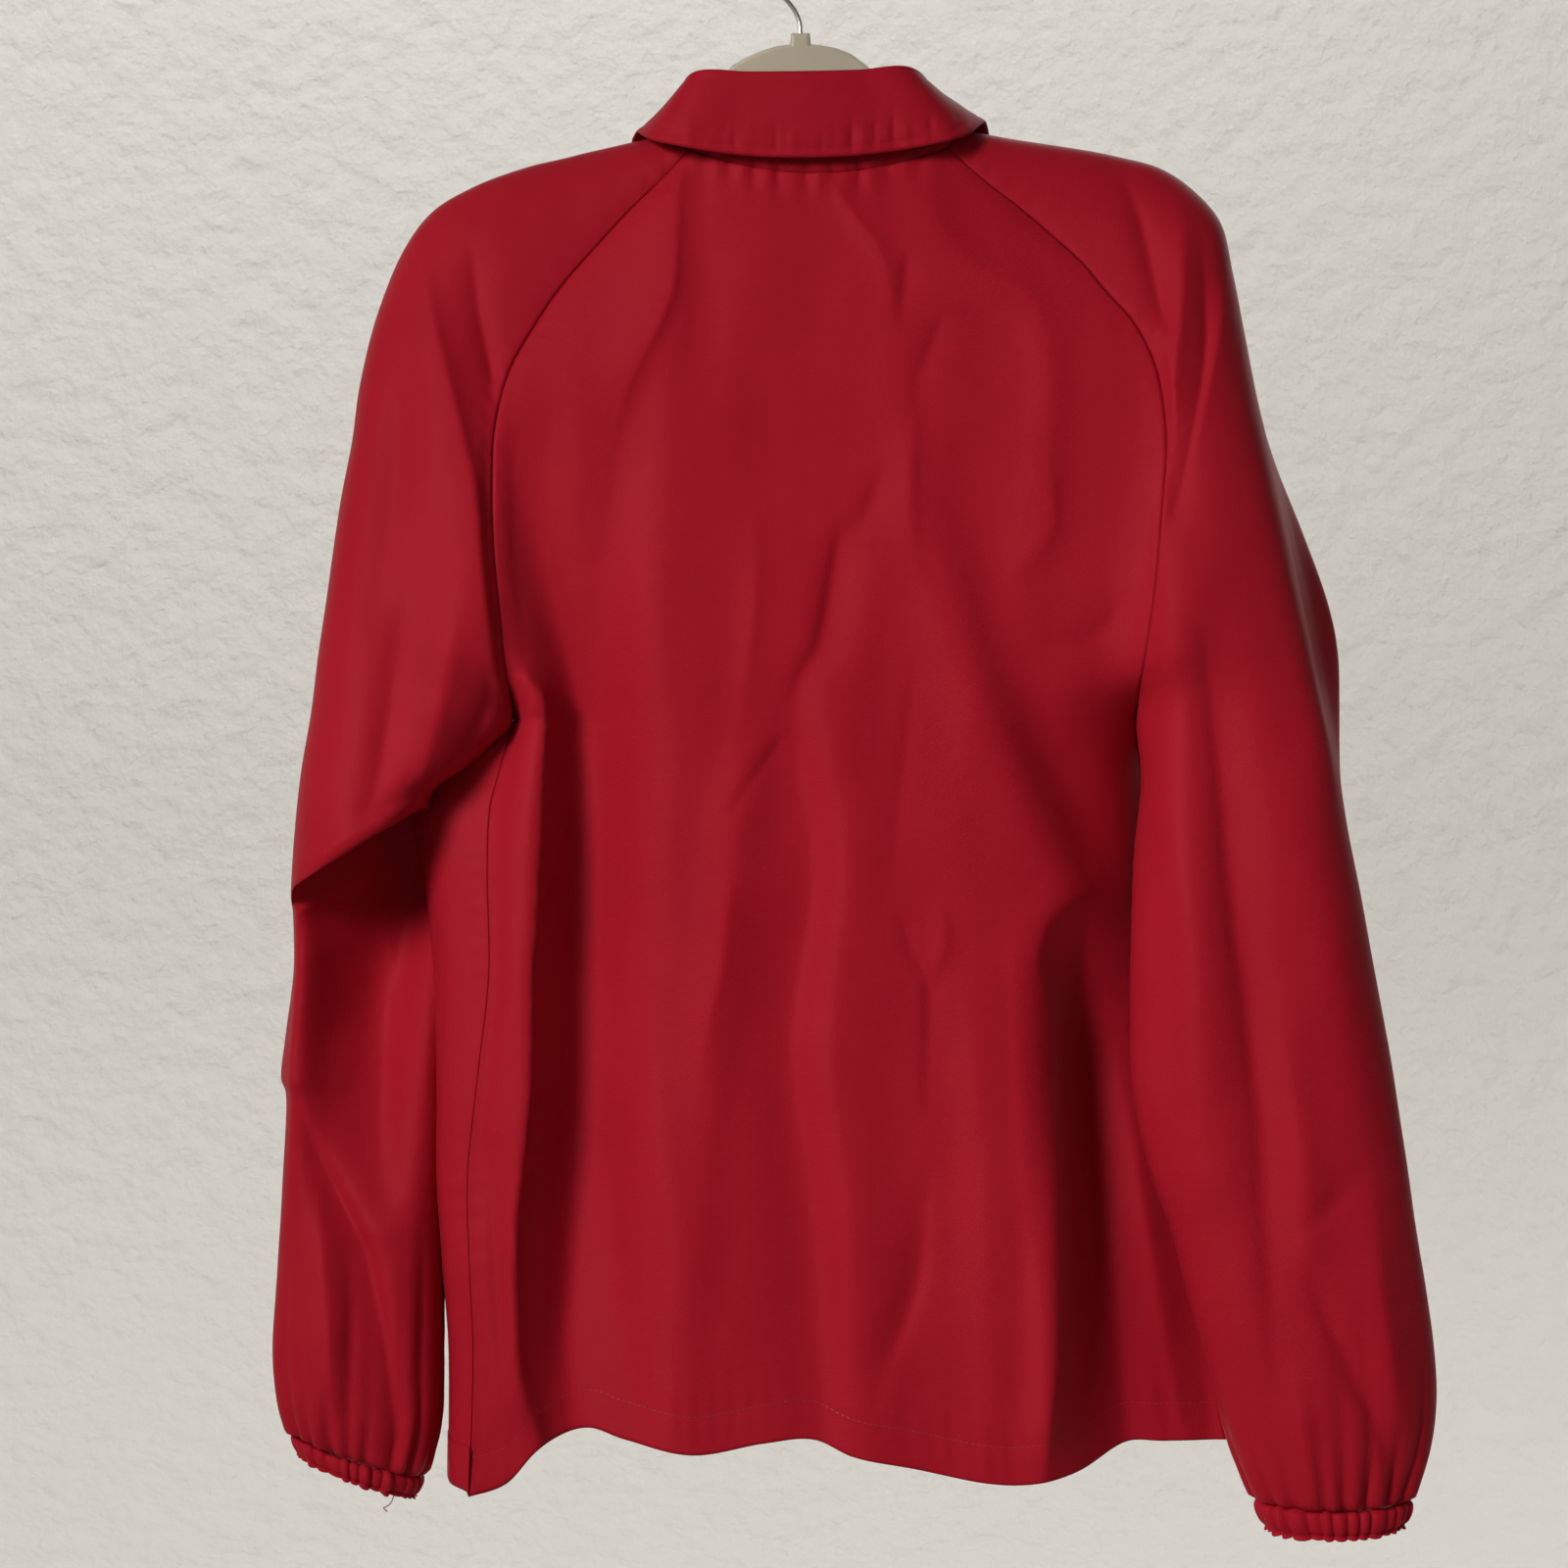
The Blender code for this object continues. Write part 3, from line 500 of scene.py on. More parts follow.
red_nylon = nylon("red_nylon")
around = np.linspace(-1, 1, SLEEVE_AROUND + 1)
SLEEVES = {
    "left": (LEFT_SLEEVE, None, LEFT_SLEEVE_BACK, LEFT_SLEEVE_FRONT, -1),
    "right": (RIGHT_SLEEVE, SLACK, RIGHT_SLEEVE_BACK, RIGHT_SLEEVE_FRONT, 1),
}
sleeve_tops = {}
for side, (sections, slack, back_creases, front_creases, hand) in SLEEVES.items():
    places = section_places(sections, SLEEVE_STEP)
    if side == "left":
        lip_rows = np.linspace(LIP + LIP_FROM, LIP + LIP_TO, LIP_ROWS)
        clear = (places < LIP + LIP_FROM - 0.05) | (places > LIP + LIP_TO + 0.05)
        places = np.sort(np.concatenate([places[clear], lip_rows]))
    x, y, drop, facing = sleeve_form(sections, places, around, NODS[side], slack)
    behind = smooth(0.0, 0.5, -facing)
    ahead = smooth(0.0, 0.5, facing)
    if side == "left":
        over = np.clip(places - LIP, 0, 1)
        folded = np.where(over < 1, np.minimum(places, LIP) + np.clip(2 * over, 0, 1), places)
        tucked = smooth(0.15, 0.8, -facing)
        fold_x, fold_y, fold_drop, _ = sleeve_form(sections, folded, around, NODS[side], slack)
        x, y, drop = (a + (b - a) * tucked for a, b in ((x, fold_x), (y, fold_y), (drop, fold_drop)))
        drop = drop - TUCK * np.sin(np.pi * over)[:, None] * tucked
        y = y - behind * smooth(0.0, 0.5, over)[:, None] * crease_height(x, drop, LEFT_RECESS)
    width = lengths(placed(x, y, drop), 1)
    away = np.minimum(width, width[:, -1:] - width)
    off_seam = smooth(0.000, 0.010, away)
    run = lengths(placed(x, y, drop), 0)
    above = run[-1:] - run
    pleats = gathers((around[None, :] + 1) / 2, above, PLEATS, PLEAT_HEIGHT, PLEAT_REACH, 5 + hand)
    pleats = pleats * smooth(0.0, 0.005, above) + groove(above, DRAWN_IN, 0.003)
    lift = behind * crease_height(x, drop, back_creases) + ahead * crease_height(x, drop, front_creases)
    for height, size, seed in SLEEVE_WAVES:
        lift = lift + height * ripple(x, drop, seed + hand, size)
    lift = lift * off_seam
    seam_run = np.where(around < 0, run[:, :1], run[:, -1:])
    lift = lift + beside_seam(seam_run, away, 31 + hand)
    grid = placed(x, y, drop)
    out = surface_normals(grid) * (-hand)
    if (out[..., 1] * facing).sum() < 0:
        out = -out
    mostly_y = out * np.array([SIDEWAYS, 1, SIDEWAYS])
    ends = smooth(0, 0.004, run)
    grid = grid + mostly_y * (lift * ends)[..., None] + out * pleats[..., None]
    grid[places >= UNDERARM, -1] = grid[places >= UNDERARM, 0]
    sleeve_tops[side] = grid[0]
    made = cloth_mesh(f"nylon_sleeve_{side}", grid, hand, red_nylon)
    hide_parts(f"sleeve_{side}")

# ---------------------------------------------------------------------------
# The back: one panel between the raglan and side seams, hung in long folds
# from the neck, with a turned hem. Its left edge folds out over a deep valley.
# ---------------------------------------------------------------------------
BACK_AROUND = 184
BACK_WAVES = ((0.0010, 0.095, 3), (0.0005, 0.036, 4))
UPPER_ROWS = 102
LOWER_ROWS = 152
HEM_TURN = 0.020
HEM_GROOVE = 0.0005
STITCH_WIDTH = 0.0012  # of the groove that a row of stitches presses in
NECK_DIP = 0.014
SEAM_GAP = 0.0001
# left_drop, left_x, left_y, left_out, right_drop, right_x, right_y, right_out
SIDE_SEAMS = (
    (426, -151, -38, 0, 426, 179, -30, 0), (440, -155, -44, 34, 447, 182, -17, 3),
    (456, -159, -50, 50, 474, 187, -10, 9), (474, -163, -56, 50, 505, 191, -6, 12),
    (506, -164, -61, 42, 540, 195, -5, 14), (560, -163, -65, 37, 582, 199, -4, 15),
    (615, -169, -66, 30, 628, 204, -7, 15), (665, -174, -67, 25, 676, 210, -12, 14),
    (712, -173, -69, 22, 722, 215, -17, 12), (760, -171, -70, 20, 768, 220, -22, 10),
    (832, -173, -72, 18, 808, 227, -28, 7),
)
# drop, back_y, front_y
TRUNK = (
    (120, -34, 33), (200, -50, 42), (300, -60, 47), (430, -66, 50),
    (520, -68, 53), (620, -70, 56), (720, -72, 58), (840, -74, 60),
)
# x, drop
HEM = (
    (-173, 833), (-153, 826), (-135, 807), (-112, 798), (-90, 804), (-55, 811),
    (-19, 805), (7, 803), (29, 812), (60, 818), (95, 825), (120, 826),
    (148, 820), (173, 808), (194, 808), (227, 808),
)
BACK_CREASES = (
    (22, 5, ((-148, 398, 2), (-139, 408, 8), (-133, 420, 13), (-134, 456, 14), (-136, 516, 14),
        (-139, 561, 14), (-140, 615, 14), (-144, 658, 14), (-148, 699, 13), (-146, 765, 10),
        (-137, 797, 8), (-134, 815, 7))),
    (16, 30, ((-150, 262, 0), (-142, 310, -6), (-130, 360, -13), (-115, 425, -23), (-115, 512, -28),
        (-116, 616, -28), (-119, 694, -25), (-120, 765, -17), (-114, 815, -8))),
    (8, 9, ((-160, 640, 0), (-160, 680, -5), (-158, 730, -6), (-155, 762, -3), (-152, 785, 0))),
    (18, 4, ((-62, 124, 1), (-63, 150, 2.5), (-64, 175, 3), (-66, 199, 3.2), (-75, 222, 2.8),
        (-88, 247, 2), (-100, 285, 0.5))),
    (10, 17, ((-50, 140, -1), (-52, 200, -2), (-58, 240, -1.5), (-66, 300, 0))),
    (14, 20, ((-92, 262, -1.5), (-97, 330, -3.5), (-100, 380, -3), (-98, 430, 0))),
    (20, 22, ((-60, 230, 0), (-70, 304, 2.5), (-78, 382, 3), (-83, 460, 3), (-83, 540, 2), (-84, 600, 0))),
    (9, 7, ((8, 122, 0.8), (18, 142, 2.2), (29, 158, 2.4), (43, 178, 2.4), (50, 205, 1))),
    (3, 9, ((57, 176, 0), (55.5, 190, -2.2), (54, 205, -1.8), (52, 224, 0))),
    (3, 9, ((76, 210, 0), (72, 222, -1.8), (65, 238, -1.8), (60, 262, -0.8))),
    (16, 10, ((65, 132, 1), (75, 166, 2.6), (97, 189, 3), (117, 199, 3), (127, 216, 3), (133, 250, 3),
        (130, 290, 2.6), (128, 330, 1))),
    (12, 4, ((62, 262, 1), (60, 290, 2.2), (60, 320, 1.8), (63, 352, 0))),
    (3, 11, ((46, 288, 0), (37, 310, -1.8), (31, 321, -1.2), (26, 326, 0))),
    (3.5, 14, ((31, 318, 0), (23, 327, -1.8), (19.5, 335, -3.2), (17, 350, -3.8), (13, 372, -3.8),
        (9, 388, -3.6), (1, 401, -3), (-3, 411, -1.5))),
    (22, 11, ((-3, 400, 0), (-3, 430, -3), (-1, 452, -4.5), (4, 482, -5), (6, 518, -5), (-2, 566, -5.5),
        (-5, 605, -6), (3, 660, -6.5), (9, 715, -6.5), (11, 765, -5), (12, 808, -3))),
    (16, 12, ((-8, 404, 0), (-16, 440, 1.6), (-24, 455, 2.6), (-32, 480, 3), (-38, 560, 3.2),
        (-44, 600, 3), (-50, 660, 2), (-52, 720, 0.5))),
    (3, 9, ((-7, 430, 0), (-14, 443, -2), (-22, 453, -2), (-31, 467, -1.4), (-39, 480, 0))),
    (14, 4, ((-35, 508, 0), (-36, 524, 1.6), (-40, 560, 2), (-46, 586, 1.8), (-50, 620, 0))),
    (13, 22, ((12, 385, 0.8), (20, 440, 3), (26, 500, 4), (22, 560, 4), (20, 620, 4.5), (29, 700, 5),
        (32, 770, 4), (34, 812, 2.5))),
    (22, 18, ((64, 258, 0.5), (66, 300, 2.5), (70, 330, 3.5), (86, 384, 5), (108, 443, 6), (134, 492, 6),
        (151, 521, 3.5))),
    (16, 20, ((84, 300, -1), (96, 350, -3), (112, 400, -4.5), (132, 448, -6), (152, 490, -6),
        (166, 525, -3))),
    (14, 5, ((156, 514, 1), (151, 517, 2.4), (141, 524, 3.4), (131, 534, 4), (126.5, 553, 4.5),
        (130, 570, 5), (136, 605, 8), (138, 650, 11), (138, 700, 12), (136, 760, 10), (131, 800, 7),
        (129, 822, 4))),
    (9, 22, ((152, 535, -3), (150, 600, -9), (151, 660, -8), (152, 720, -7), (154, 780, -4),
        (154, 815, -2))),
    (3, 9, ((53, 526, 0), (55, 538, -1.4), (58, 547, -1.8), (64, 558, -2), (67, 566, -2.2),
        (67, 600, -1.8), (66, 640, 0))),
    (8, 3, ((75, 520, 0), (76, 534, 1.4), (77, 544, 1.8), (73, 555, 1.4), (68, 563, 0.4))),
    (9, 4, ((131, 288, 0), (134, 306, 1.4), (134.5, 323, 1.8), (126, 338, 1.4), (113, 350, 0.4))),
    (4, 8, ((156, 354, 0), (165, 368, -1.4), (159, 378, -1.8), (146, 384, -1.4), (126, 385, 0))),
    (12, 5, ((70, 655, 0), (66, 690, -2.6), (64, 716, -3.6), (56, 742, -3.6), (46, 766, -2.4),
        (38, 792, 0))),
    (14, 22, ((92, 540, 0), (94, 600, 3), (100, 660, 4), (102, 720, 4), (102, 780, 4), (100, 820, 3))),
    (16, 16, ((-84, 520, 0), (-82, 600, 2.5), (-74, 660, 3.5), (-62, 716, 3.5), (-60, 780, 3.5),
        (-62, 810, 2.5))),
    (10, 13, ((-104, 640, 0), (-98, 700, -2.5), (-92, 760, -3), (-88, 804, -2))),
    (6, 9, ((62, 390, 0), (58, 420, -1.4), (52, 470, -1.4), (48, 520, 0))),
    (9, 6, ((-24, 300, 0), (-22, 350, 1.4), (-26, 400, 1.4), (-34, 450, 0))),
    (8, 12, ((160, 566, 0), (176, 640, 3), (186, 700, 4), (196, 760, 3), (206, 806, 2))),
)
# The tiny gathers where the back is set onto the collar: x, width, depth.
NECK_GATHERS = (
    (-50, 2.2, -1.0), (-44, 2.5, 0.9), (-37, 2.0, -1.1), (-30, 2.4, 0.8), (-24, 1.8, -1.2), (-17, 2.4, 0.9),
    (-11, 1.7, -1.2), (-3, 2.6, 0.7), (4, 1.8, -1.0), (10, 2.3, 1.0), (17, 2.2, -0.9), (24, 2.4, 0.8),
    (32, 1.8, -1.5), (38, 2.6, 1.0), (47, 2.0, -0.9), (56, 2.2, 0.7), (64, 2.0, -1.0), (71, 2.3, 0.8),
)


def rim(side, upper):
    """A panel's edge at shares from the neck (0) to the underarm (1) on one sleeve, back or front."""
    sections, slack = SLEEVES[side][:2]
    places = upper * UNDERARM
    end = np.array([[-1.0, 1.0]])
    x, y, drop, _ = sleeve_form(sections, np.minimum(places, UNDERARM - 1e-6), end, 0, slack)
    return placed(x, y, drop)


def side_edge(side, front):
    """Down the raglan seam, then the side seam to the hem; and the front's swing out there."""
    upper = rim(side, np.linspace(0, 1, UPPER_ROWS))[:, int(front)]
    rows = evenly(SIDE_SEAMS, LOWER_ROWS + 1)[1:] * MM
    first = 0 if side == "left" else 4
    drop, x, y, out = rows[:, first : first + 4].T
    lower = placed(x, y, drop)
    join = upper[-1] - placed(*(np.asarray(SIDE_SEAMS[0][first : first + 3]) * MM)[[1, 2, 0]])
    ease = np.exp(-np.arange(1, LOWER_ROWS + 1) / 9)[:, None]
    edge = np.concatenate([upper, lower + join * ease])
    return edge, np.concatenate([np.zeros(UPPER_ROWS), np.maximum(out, 0)])


def trunk_depth(drop, column):
    """The body's y at a drop, from one column of its table."""
    levels = evenly(TRUNK, 80) * MM
    return np.interp(drop, levels[:, 0], levels[:, column])


def eased(values, reach):
    """Each row the mean of the rows up to this far away, the ends held."""
    padded = np.pad(values, ((reach, reach), (0, 0)), "edge")
    total = np.cumsum(np.concatenate([np.zeros_like(padded[:1]), padded]), axis=0)
    return (total[2 * reach + 1 :] - total[: -2 * reach - 1]) / (2 * reach + 1)


left_back, _ = side_edge("left", False)
right_back, _ = side_edge("right", False)
across = np.linspace(0, 1, BACK_AROUND + 1)
left_rim = (left_back + np.array([SEAM_GAP, 0, 0]))[:, None]
right_rim = (right_back - np.array([SEAM_GAP, 0, 0]))[:, None]
flat = left_rim + (right_rim - left_rim) * across[None, :, None]
x, edge_y, drop = flat[..., 0], flat[..., 1], -flat[..., 2]
rows = len(flat)
upper = (1 - np.arange(rows) / (rows - 1))[:, None]
below = smooth(0, 1, np.clip((np.arange(rows) - UPPER_ROWS) / LOWER_ROWS, 0, 1))[:, None]
drop = drop + NECK_DIP * upper**3 * (1 - (2 * across - 1) ** 2)
hem_line = evenly(HEM, 160) * MM
drop = drop + (np.interp(x[-1], hem_line[:, 0], hem_line[:, 1]) - drop[-1]) * below
# Near its seams the panel takes the depth of its edges, and the trunk's in between; low on the
# right it keeps nearer to the seam's over a wide shelf.
base = trunk_depth(drop, 1)
slow_y = eased(eased(edge_y, 28), 28)
wide = np.abs(2 * across - 1) ** 4 * np.ones_like(base)
shelf = 0.85 * smooth(0.76, 0.88, across) + 0.15 * smooth(0.88, 1.0, across)
wide += (shelf - wide) * (across > 0.5) * smooth(0.50, 0.62, drop)
near_edge = np.exp(-np.minimum(across, 1 - across) / 0.05)
y = base + (slow_y - base) * wide + (edge_y - slow_y) * near_edge
width = lengths(placed(x, y, drop), 1)
away = np.minimum(width, width[:, -1:] - width)
run = lengths(placed(x, y, drop), 0)
lift = crease_height(x, drop, BACK_CREASES)
for height, size, seed in BACK_WAVES:
    lift += height * ripple(x, drop, seed, size)
lift *= smooth(0.0, 0.012, away)
seam_run = np.where(across < 0.5, run[:, :1], run[:, -1:])
lift += beside_seam(seam_run, away, 6)
for gather_x, gather_width, depth in NECK_GATHERS:
    spread = gather_width * MM * (1 + 2.2 * run / 0.02)
    lift += depth * MM * bell(x - gather_x * MM, spread) * np.exp(-((run / 0.013) ** 1.5))
to_stitches = run[-1:] - run - HEM_TURN
lift += 0.0005 * pucker(width[-1:], np.abs(to_stitches), 0.011, 0.009, 8)
lift += groove(to_stitches, HEM_GROOVE, STITCH_WIDTH)
y = y - lift
back_grid = placed(x, y, drop)


def with_turning(grid, inward, thick=0.0010, rows=8):
    """The grid and, past its lowest row, the hem's inner layer: the same cloth again this far
    inwards, from the edge up to the stitching."""
    stop = int(np.argmin(np.abs(lengths_left(grid, 0).mean(1) - HEM_TURN)))
    picks = np.linspace(len(grid) - 1, stop, rows).astype(int)
    inside = grid[picks] + inward * thick * smooth(0, 1, np.linspace(0.3, 1.6, rows))[:, None, None]
    return np.concatenate([grid, inside])


back_full = with_turning(back_grid, np.array([0, 1, 0]))
made = cloth_mesh("nylon_back_panel", back_full, 1, red_nylon)
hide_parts("back_panel")

# ---------------------------------------------------------------------------
# The fronts: two panels that meet down the middle, the left one lapped over
# the right one and snapped to it. Each is turned in along the closure and hem.
# ---------------------------------------------------------------------------
FRONT_AROUND = 90
LAP = 0.012
LAP_COLUMNS = 6
LAP_LIFT = 0.0020
CLOSURE_GROOVE = 0.0004
CLOSURE_X = 0.008
FRONT_NECK_DROP = 0.187
FRONT_HEM_DROP = 0.795
# A front's plan from side seam to closure: share of the way there, of the swing out and of the depth.
FRONT_PLAN = (
    (0.0, 0.0, 0.0), (0.01, 0.7, 0.12), (0.04, 1.0, 0.5),
    (0.16, 0.85, 0.9), (0.5, 0.2, 1.0), (1.0, 0.0, 1.0),
)
FRONT_CREASES = (
    (14, 18, ((-92, 160, 0), (-90, 240, 6), (-84, 340, 7), (-74, 430, 5), (-70, 520, 0))),
    (10, 9, ((-58, 190, 0), (-60, 260, -4), (-54, 330, -4), (-50, 400, 0))),
    (16, 20, ((-112, 330, 0), (-124, 420, -9), (-128, 540, -12), (-126, 680, -11), (-122, 795, -6))),
    (16, 18, ((-54, 420, 0), (-66, 520, 6), (-70, 640, 8), (-72, 740, 7), (-70, 800, 4))),
    (7, 10, ((-30, 480, 0), (-36, 570, -4), (-34, 660, -5), (-40, 760, -3), (-40, 800, 0))),
    (6, 8, ((-18, 230, 0), (-26, 270, 3), (-40, 300, 3), (-52, 318, 0))),
    (12, 16, ((62, 180, 0), (76, 260, -5), (88, 360, -6), (96, 480, 0))),
    (10, 12, ((44, 170, 0), (58, 240, 4), (66, 320, 5), (70, 400, 0))),
    (16, 18, ((104, 380, 0), (116, 480, 8), (124, 600, 9), (128, 720, 8), (130, 800, 4))),
    (14, 18, ((158, 460, 0), (164, 560, -7), (168, 680, -9), (168, 790, -5))),
    (14, 16, ((58, 500, 0), (62, 580, -5), (68, 680, -6), (74, 795, -3))),
    (8, 8, ((32, 420, 0), (30, 520, 3), (38, 620, 4), (34, 740, 2), (36, 796, 0))),
    (6, 9, ((140, 300, 0), (134, 340, -3), (122, 372, -3), (112, 400, 0))),
)


def front_surface(side):
    """A front's outer face: from its side seam it swings out and round to the front, then runs
    flat to the closure, which hangs plumb, and on by its lap."""
    hand = SLEEVES[side][-1]
    edge, swing = side_edge(side, True)
    edge = edge - np.array([hand * SEAM_GAP, 0, 0])
    rows = len(edge)
    below = np.clip((np.arange(rows) - UPPER_ROWS) / LOWER_ROWS, 0, 1)[:, None]
    closure_drop = np.linspace(FRONT_NECK_DROP, FRONT_HEM_DROP, rows)[:, None]
    plan = evenly(FRONT_PLAN, FRONT_AROUND + 1)
    reach, swung, deep = (share[None, :] for share in plan.T)
    fall = np.clip(reach, 0, 1) ** (1 - 0.6 * below)
    x = edge[:, 0:1] + (CLOSURE_X - edge[:, 0:1]) * reach + hand * swing[:, None] * swung
    drop = -edge[:, 2:3] + (closure_drop + edge[:, 2:3]) * fall
    y = edge[:, 1:2] + (trunk_depth(drop, 2) - edge[:, 1:2]) * deep
    lap = np.linspace(0, LAP, LAP_COLUMNS + 1)[None, 1:]
    x = np.concatenate([x, x[:, -1:] - hand * lap], axis=1)
    drop, y, reach = (np.pad(part, ((0, 0), (0, LAP_COLUMNS)), "edge") for part in (drop, y, reach))
    away = lengths(placed(x, y, drop), 1)
    to_closure = away[:, -1:] - away
    run = lengths(placed(x, y, drop), 0)
    seed = 40 + hand
    lift = crease_height(x, drop, FRONT_CREASES) * smooth(0.02, 0.2, reach) * smooth(0.014, 0.050, to_closure)
    lift += 0.0009 * ripple(x, drop, seed, 0.09) * smooth(0.0, 0.02, away) * smooth(0.0, 0.05, to_closure)
    lift += beside_seam(run[:, :1], away, seed + 2)
    lift += groove(to_closure - 2 * LAP, CLOSURE_GROOVE, STITCH_WIDTH)
    lift += groove(run[-1:] - run - HEM_TURN, HEM_GROOVE, STITCH_WIDTH)
    y = y + lift + LAP_LIFT * reach * (hand < 0)
    return placed(x, y, drop)


front_grids = {}
for side, hand in (("left", -1), ("right", 1)):
    grid = front_surface(side)
    front_grids[side] = grid
    made = cloth_mesh(f"nylon_front_{side}", with_turning(grid, np.array([0, -1, 0])), hand, red_nylon)
    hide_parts(f"front_{side}")

# ---------------------------------------------------------------------------
# The cuffs: a narrow casing round a band of elastic, let go so that it draws
# the nylon into many small sharp gathers and a frilled lower edge.
# ---------------------------------------------------------------------------
# outer_x, outer_drop, inner_x, inner_drop, middle_y, half_depth at the top and bottom edges
CUFFS = {
    "left": ((-269, 803, -199, 826, -34, 22), (-266, 815, -203, 838, -35, 20)),
    "right": ((321, 834, 239, 834, -64, 21), (317, 849, 245, 850, -64, 20)),
}
CUFF_GATHERS = 30
CUFF_AROUND = 390
CUFF_ROWS = 26
GATHER_DEPTH = 0.0024
CUFF_SWELL = 0.0022
CUFF_FRILL = 0.0008
# Grooves round the casing: depth, and width and place as shares of its height.
CUFF_SEAM, CUFF_STITCHING = (0.0016, 0.10, 0.0), (0.0010, 0.07, 0.80)
CUFF_LINING = 0.0016  # how far inside the casing its turned-in edge lies
LINING_ROWS = 17

for side, ovals in CUFFS.items():
    hand = SLEEVES[side][-1]
    down = np.linspace(0, 1, CUFF_ROWS)
    rows = between(ovals, down) * MM
    angle = np.linspace(-np.pi, np.pi, CUFF_AROUND + 1)[None, :]
    share = (angle + np.pi) / (2 * np.pi)
    chance = np.random.default_rng(60 + hand)
    warped = share + sum(
        size * np.sin(2 * np.pi * turns * share + chance.uniform(0, 6))
        for turns, size in ((2, 0.012), (5, 0.006), (11, 0.0035))
    )
    number = np.floor(CUFF_GATHERS * warped).astype(int) % CUFF_GATHERS
    high = chance.uniform(0.3, 1.25, CUFF_GATHERS)[number]
    ridge = (np.abs(np.sin(np.pi * CUFF_GATHERS * warped)) ** 0.7) * high
    swell = CUFF_SWELL * np.sin(np.pi * np.clip(down * 1.15, 0, 1))[:, None]
    frill = CUFF_FRILL * smooth(0.72, 1.0, down)[:, None]
    pinch = sum(groove(down - place, depth, wide) for depth, wide, place in (CUFF_SEAM, CUFF_STITCHING))
    gathered = GATHER_DEPTH * (ridge - 0.8) * (0.55 + 0.45 * np.sin(np.pi * down)[:, None])
    grow = swell + frill * (0.4 + ridge) + pinch[:, None] + gathered
    middle, arm = (rows[:, 0:2] + rows[:, 2:4]) / 2, (rows[:, 0:2] - rows[:, 2:4]) / 2
    radius = np.linalg.norm(arm, axis=1)[:, None]
    scale = 1 + grow / radius
    x = middle[:, 0:1] + arm[:, 0:1] * np.cos(angle) * scale
    drop = middle[:, 1:2] + arm[:, 1:2] * np.cos(angle) * scale - NODS[side] * np.sin(angle)
    drop = drop + 0.0012 * (ridge - 0.7) * (2 * down[:, None] - 1)
    y = rows[:, 4:5] + (rows[:, 5:6] + grow) * np.sin(angle)
    outer = placed(x, y, drop)
    heart = outer.mean(axis=1, keepdims=True)
    inward = (heart - outer) / np.linalg.norm(heart - outer, axis=-1)[..., None]
    inner = (outer + inward * CUFF_LINING)[::-1][1 : LINING_ROWS + 1]
    made = cloth_mesh(f"nylon_cuff_{side}", np.concatenate([outer, inner]), hand, red_nylon)
    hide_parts(f"cuff_{side}")

# ---------------------------------------------------------------------------
# The collar: cut double, it stands up from the neck seam, rolls over and is
# turned down outside, with two points in front and a row of edge stitching.
# ---------------------------------------------------------------------------
COLLAR_STATIONS = 330
COLLAR_STITCH = 0.0045  # above the collar's lower edge
COLLAR_WALL = 0.0007
COLLAR_GROOVE = (0.0005, 0.0010)
STAND_ROWS, ROLL_ROWS, FALL_ROWS = 14, 9, 34
ROLL = 0.0015  # radius of the roll along the fold
FALL_CURVE = 0.0012  # how far the fall stands off a straight line
# fold_x, fold_y, fold_drop, edge_x, edge_y, edge_drop, from the closure round the wearer's left
COLLAR = (
    (6, 42, 177, -38, 53, 216), (-25, 40, 147, -64, 52, 184), (-50, 31, 117, -87, 43, 142),
    (-59, 2, 98, -88, 2, 112), (-54, -32, 84.5, -74, -40, 120), (-26, -38, 85, -35, -45, 127),
    (3, -40, 85, 6, -47, 129), (32, -38, 84, 46, -45, 126), (58, -32, 82, 85, -40, 118),
    (69, 2, 93, 101, 2, 106), (63, 31, 116, 101, 44, 138), (40, 40, 147, 79, 52, 184),
    (10, 41, 177, 54, 52, 216),
)
# Dents along the stitching seen on the fall's back: x, width, depth, height above the edge.
COLLAR_DENTS = (
    (-34, 1.6, -0.8, 9), (-12, 1.4, -0.9, 11), (-3, 2.2, 0.6, 8), (12, 1.4, -0.7, 7), (22, 2.4, 0.5, 9),
    (28, 1.6, -1.1, 12), (34, 2.0, 0.7, 12), (40, 1.6, -0.9, 13), (50, 1.6, -1.1, 15), (57, 2.2, 0.7, 12),
    (70, 1.8, -1.0, 13), (-58, 2.4, 0.6, 10), (84, 2.0, -0.6, 8),
)


def points_along(line, run, wanted):
    """The points of a line at these distances along it."""
    return np.stack([np.interp(wanted, run, line[:, axis]) for axis in range(3)], axis=1)


ring = np.concatenate([
    front_grids["left"][0, FRONT_AROUND:0:-1], sleeve_tops["left"][::-1][:-1], back_grid[0][:-1],
    sleeve_tops["right"][:-1], front_grids["right"][0, : FRONT_AROUND + 1],
])
ring_run = lengths(ring, 0)
stations = np.linspace(0, 1, COLLAR_STATIONS)
foot = points_along(ring, ring_run / ring_run[-1], stations)
plan = between(np.asarray(COLLAR) * MM, stations * (len(COLLAR) - 1))
fold = placed(plan[:, 0], plan[:, 1], plan[:, 2])
edge = placed(plan[:, 3], plan[:, 4], plan[:, 5])
heading = np.gradient(fold, axis=0)
outward = placed(heading[:, 1], -heading[:, 0], 0)
outward = outward / np.linalg.norm(outward, axis=1)[:, None]
lift_up = np.array([0, 0, 1.0])
up = np.linspace(0, 1, STAND_ROWS)[:, None, None]
stand = foot - outward * 0.0002 + (fold - foot + outward * 0.0002) * up
turn = np.linspace(0, np.pi, ROLL_ROWS + 2)[1:-1, None, None]
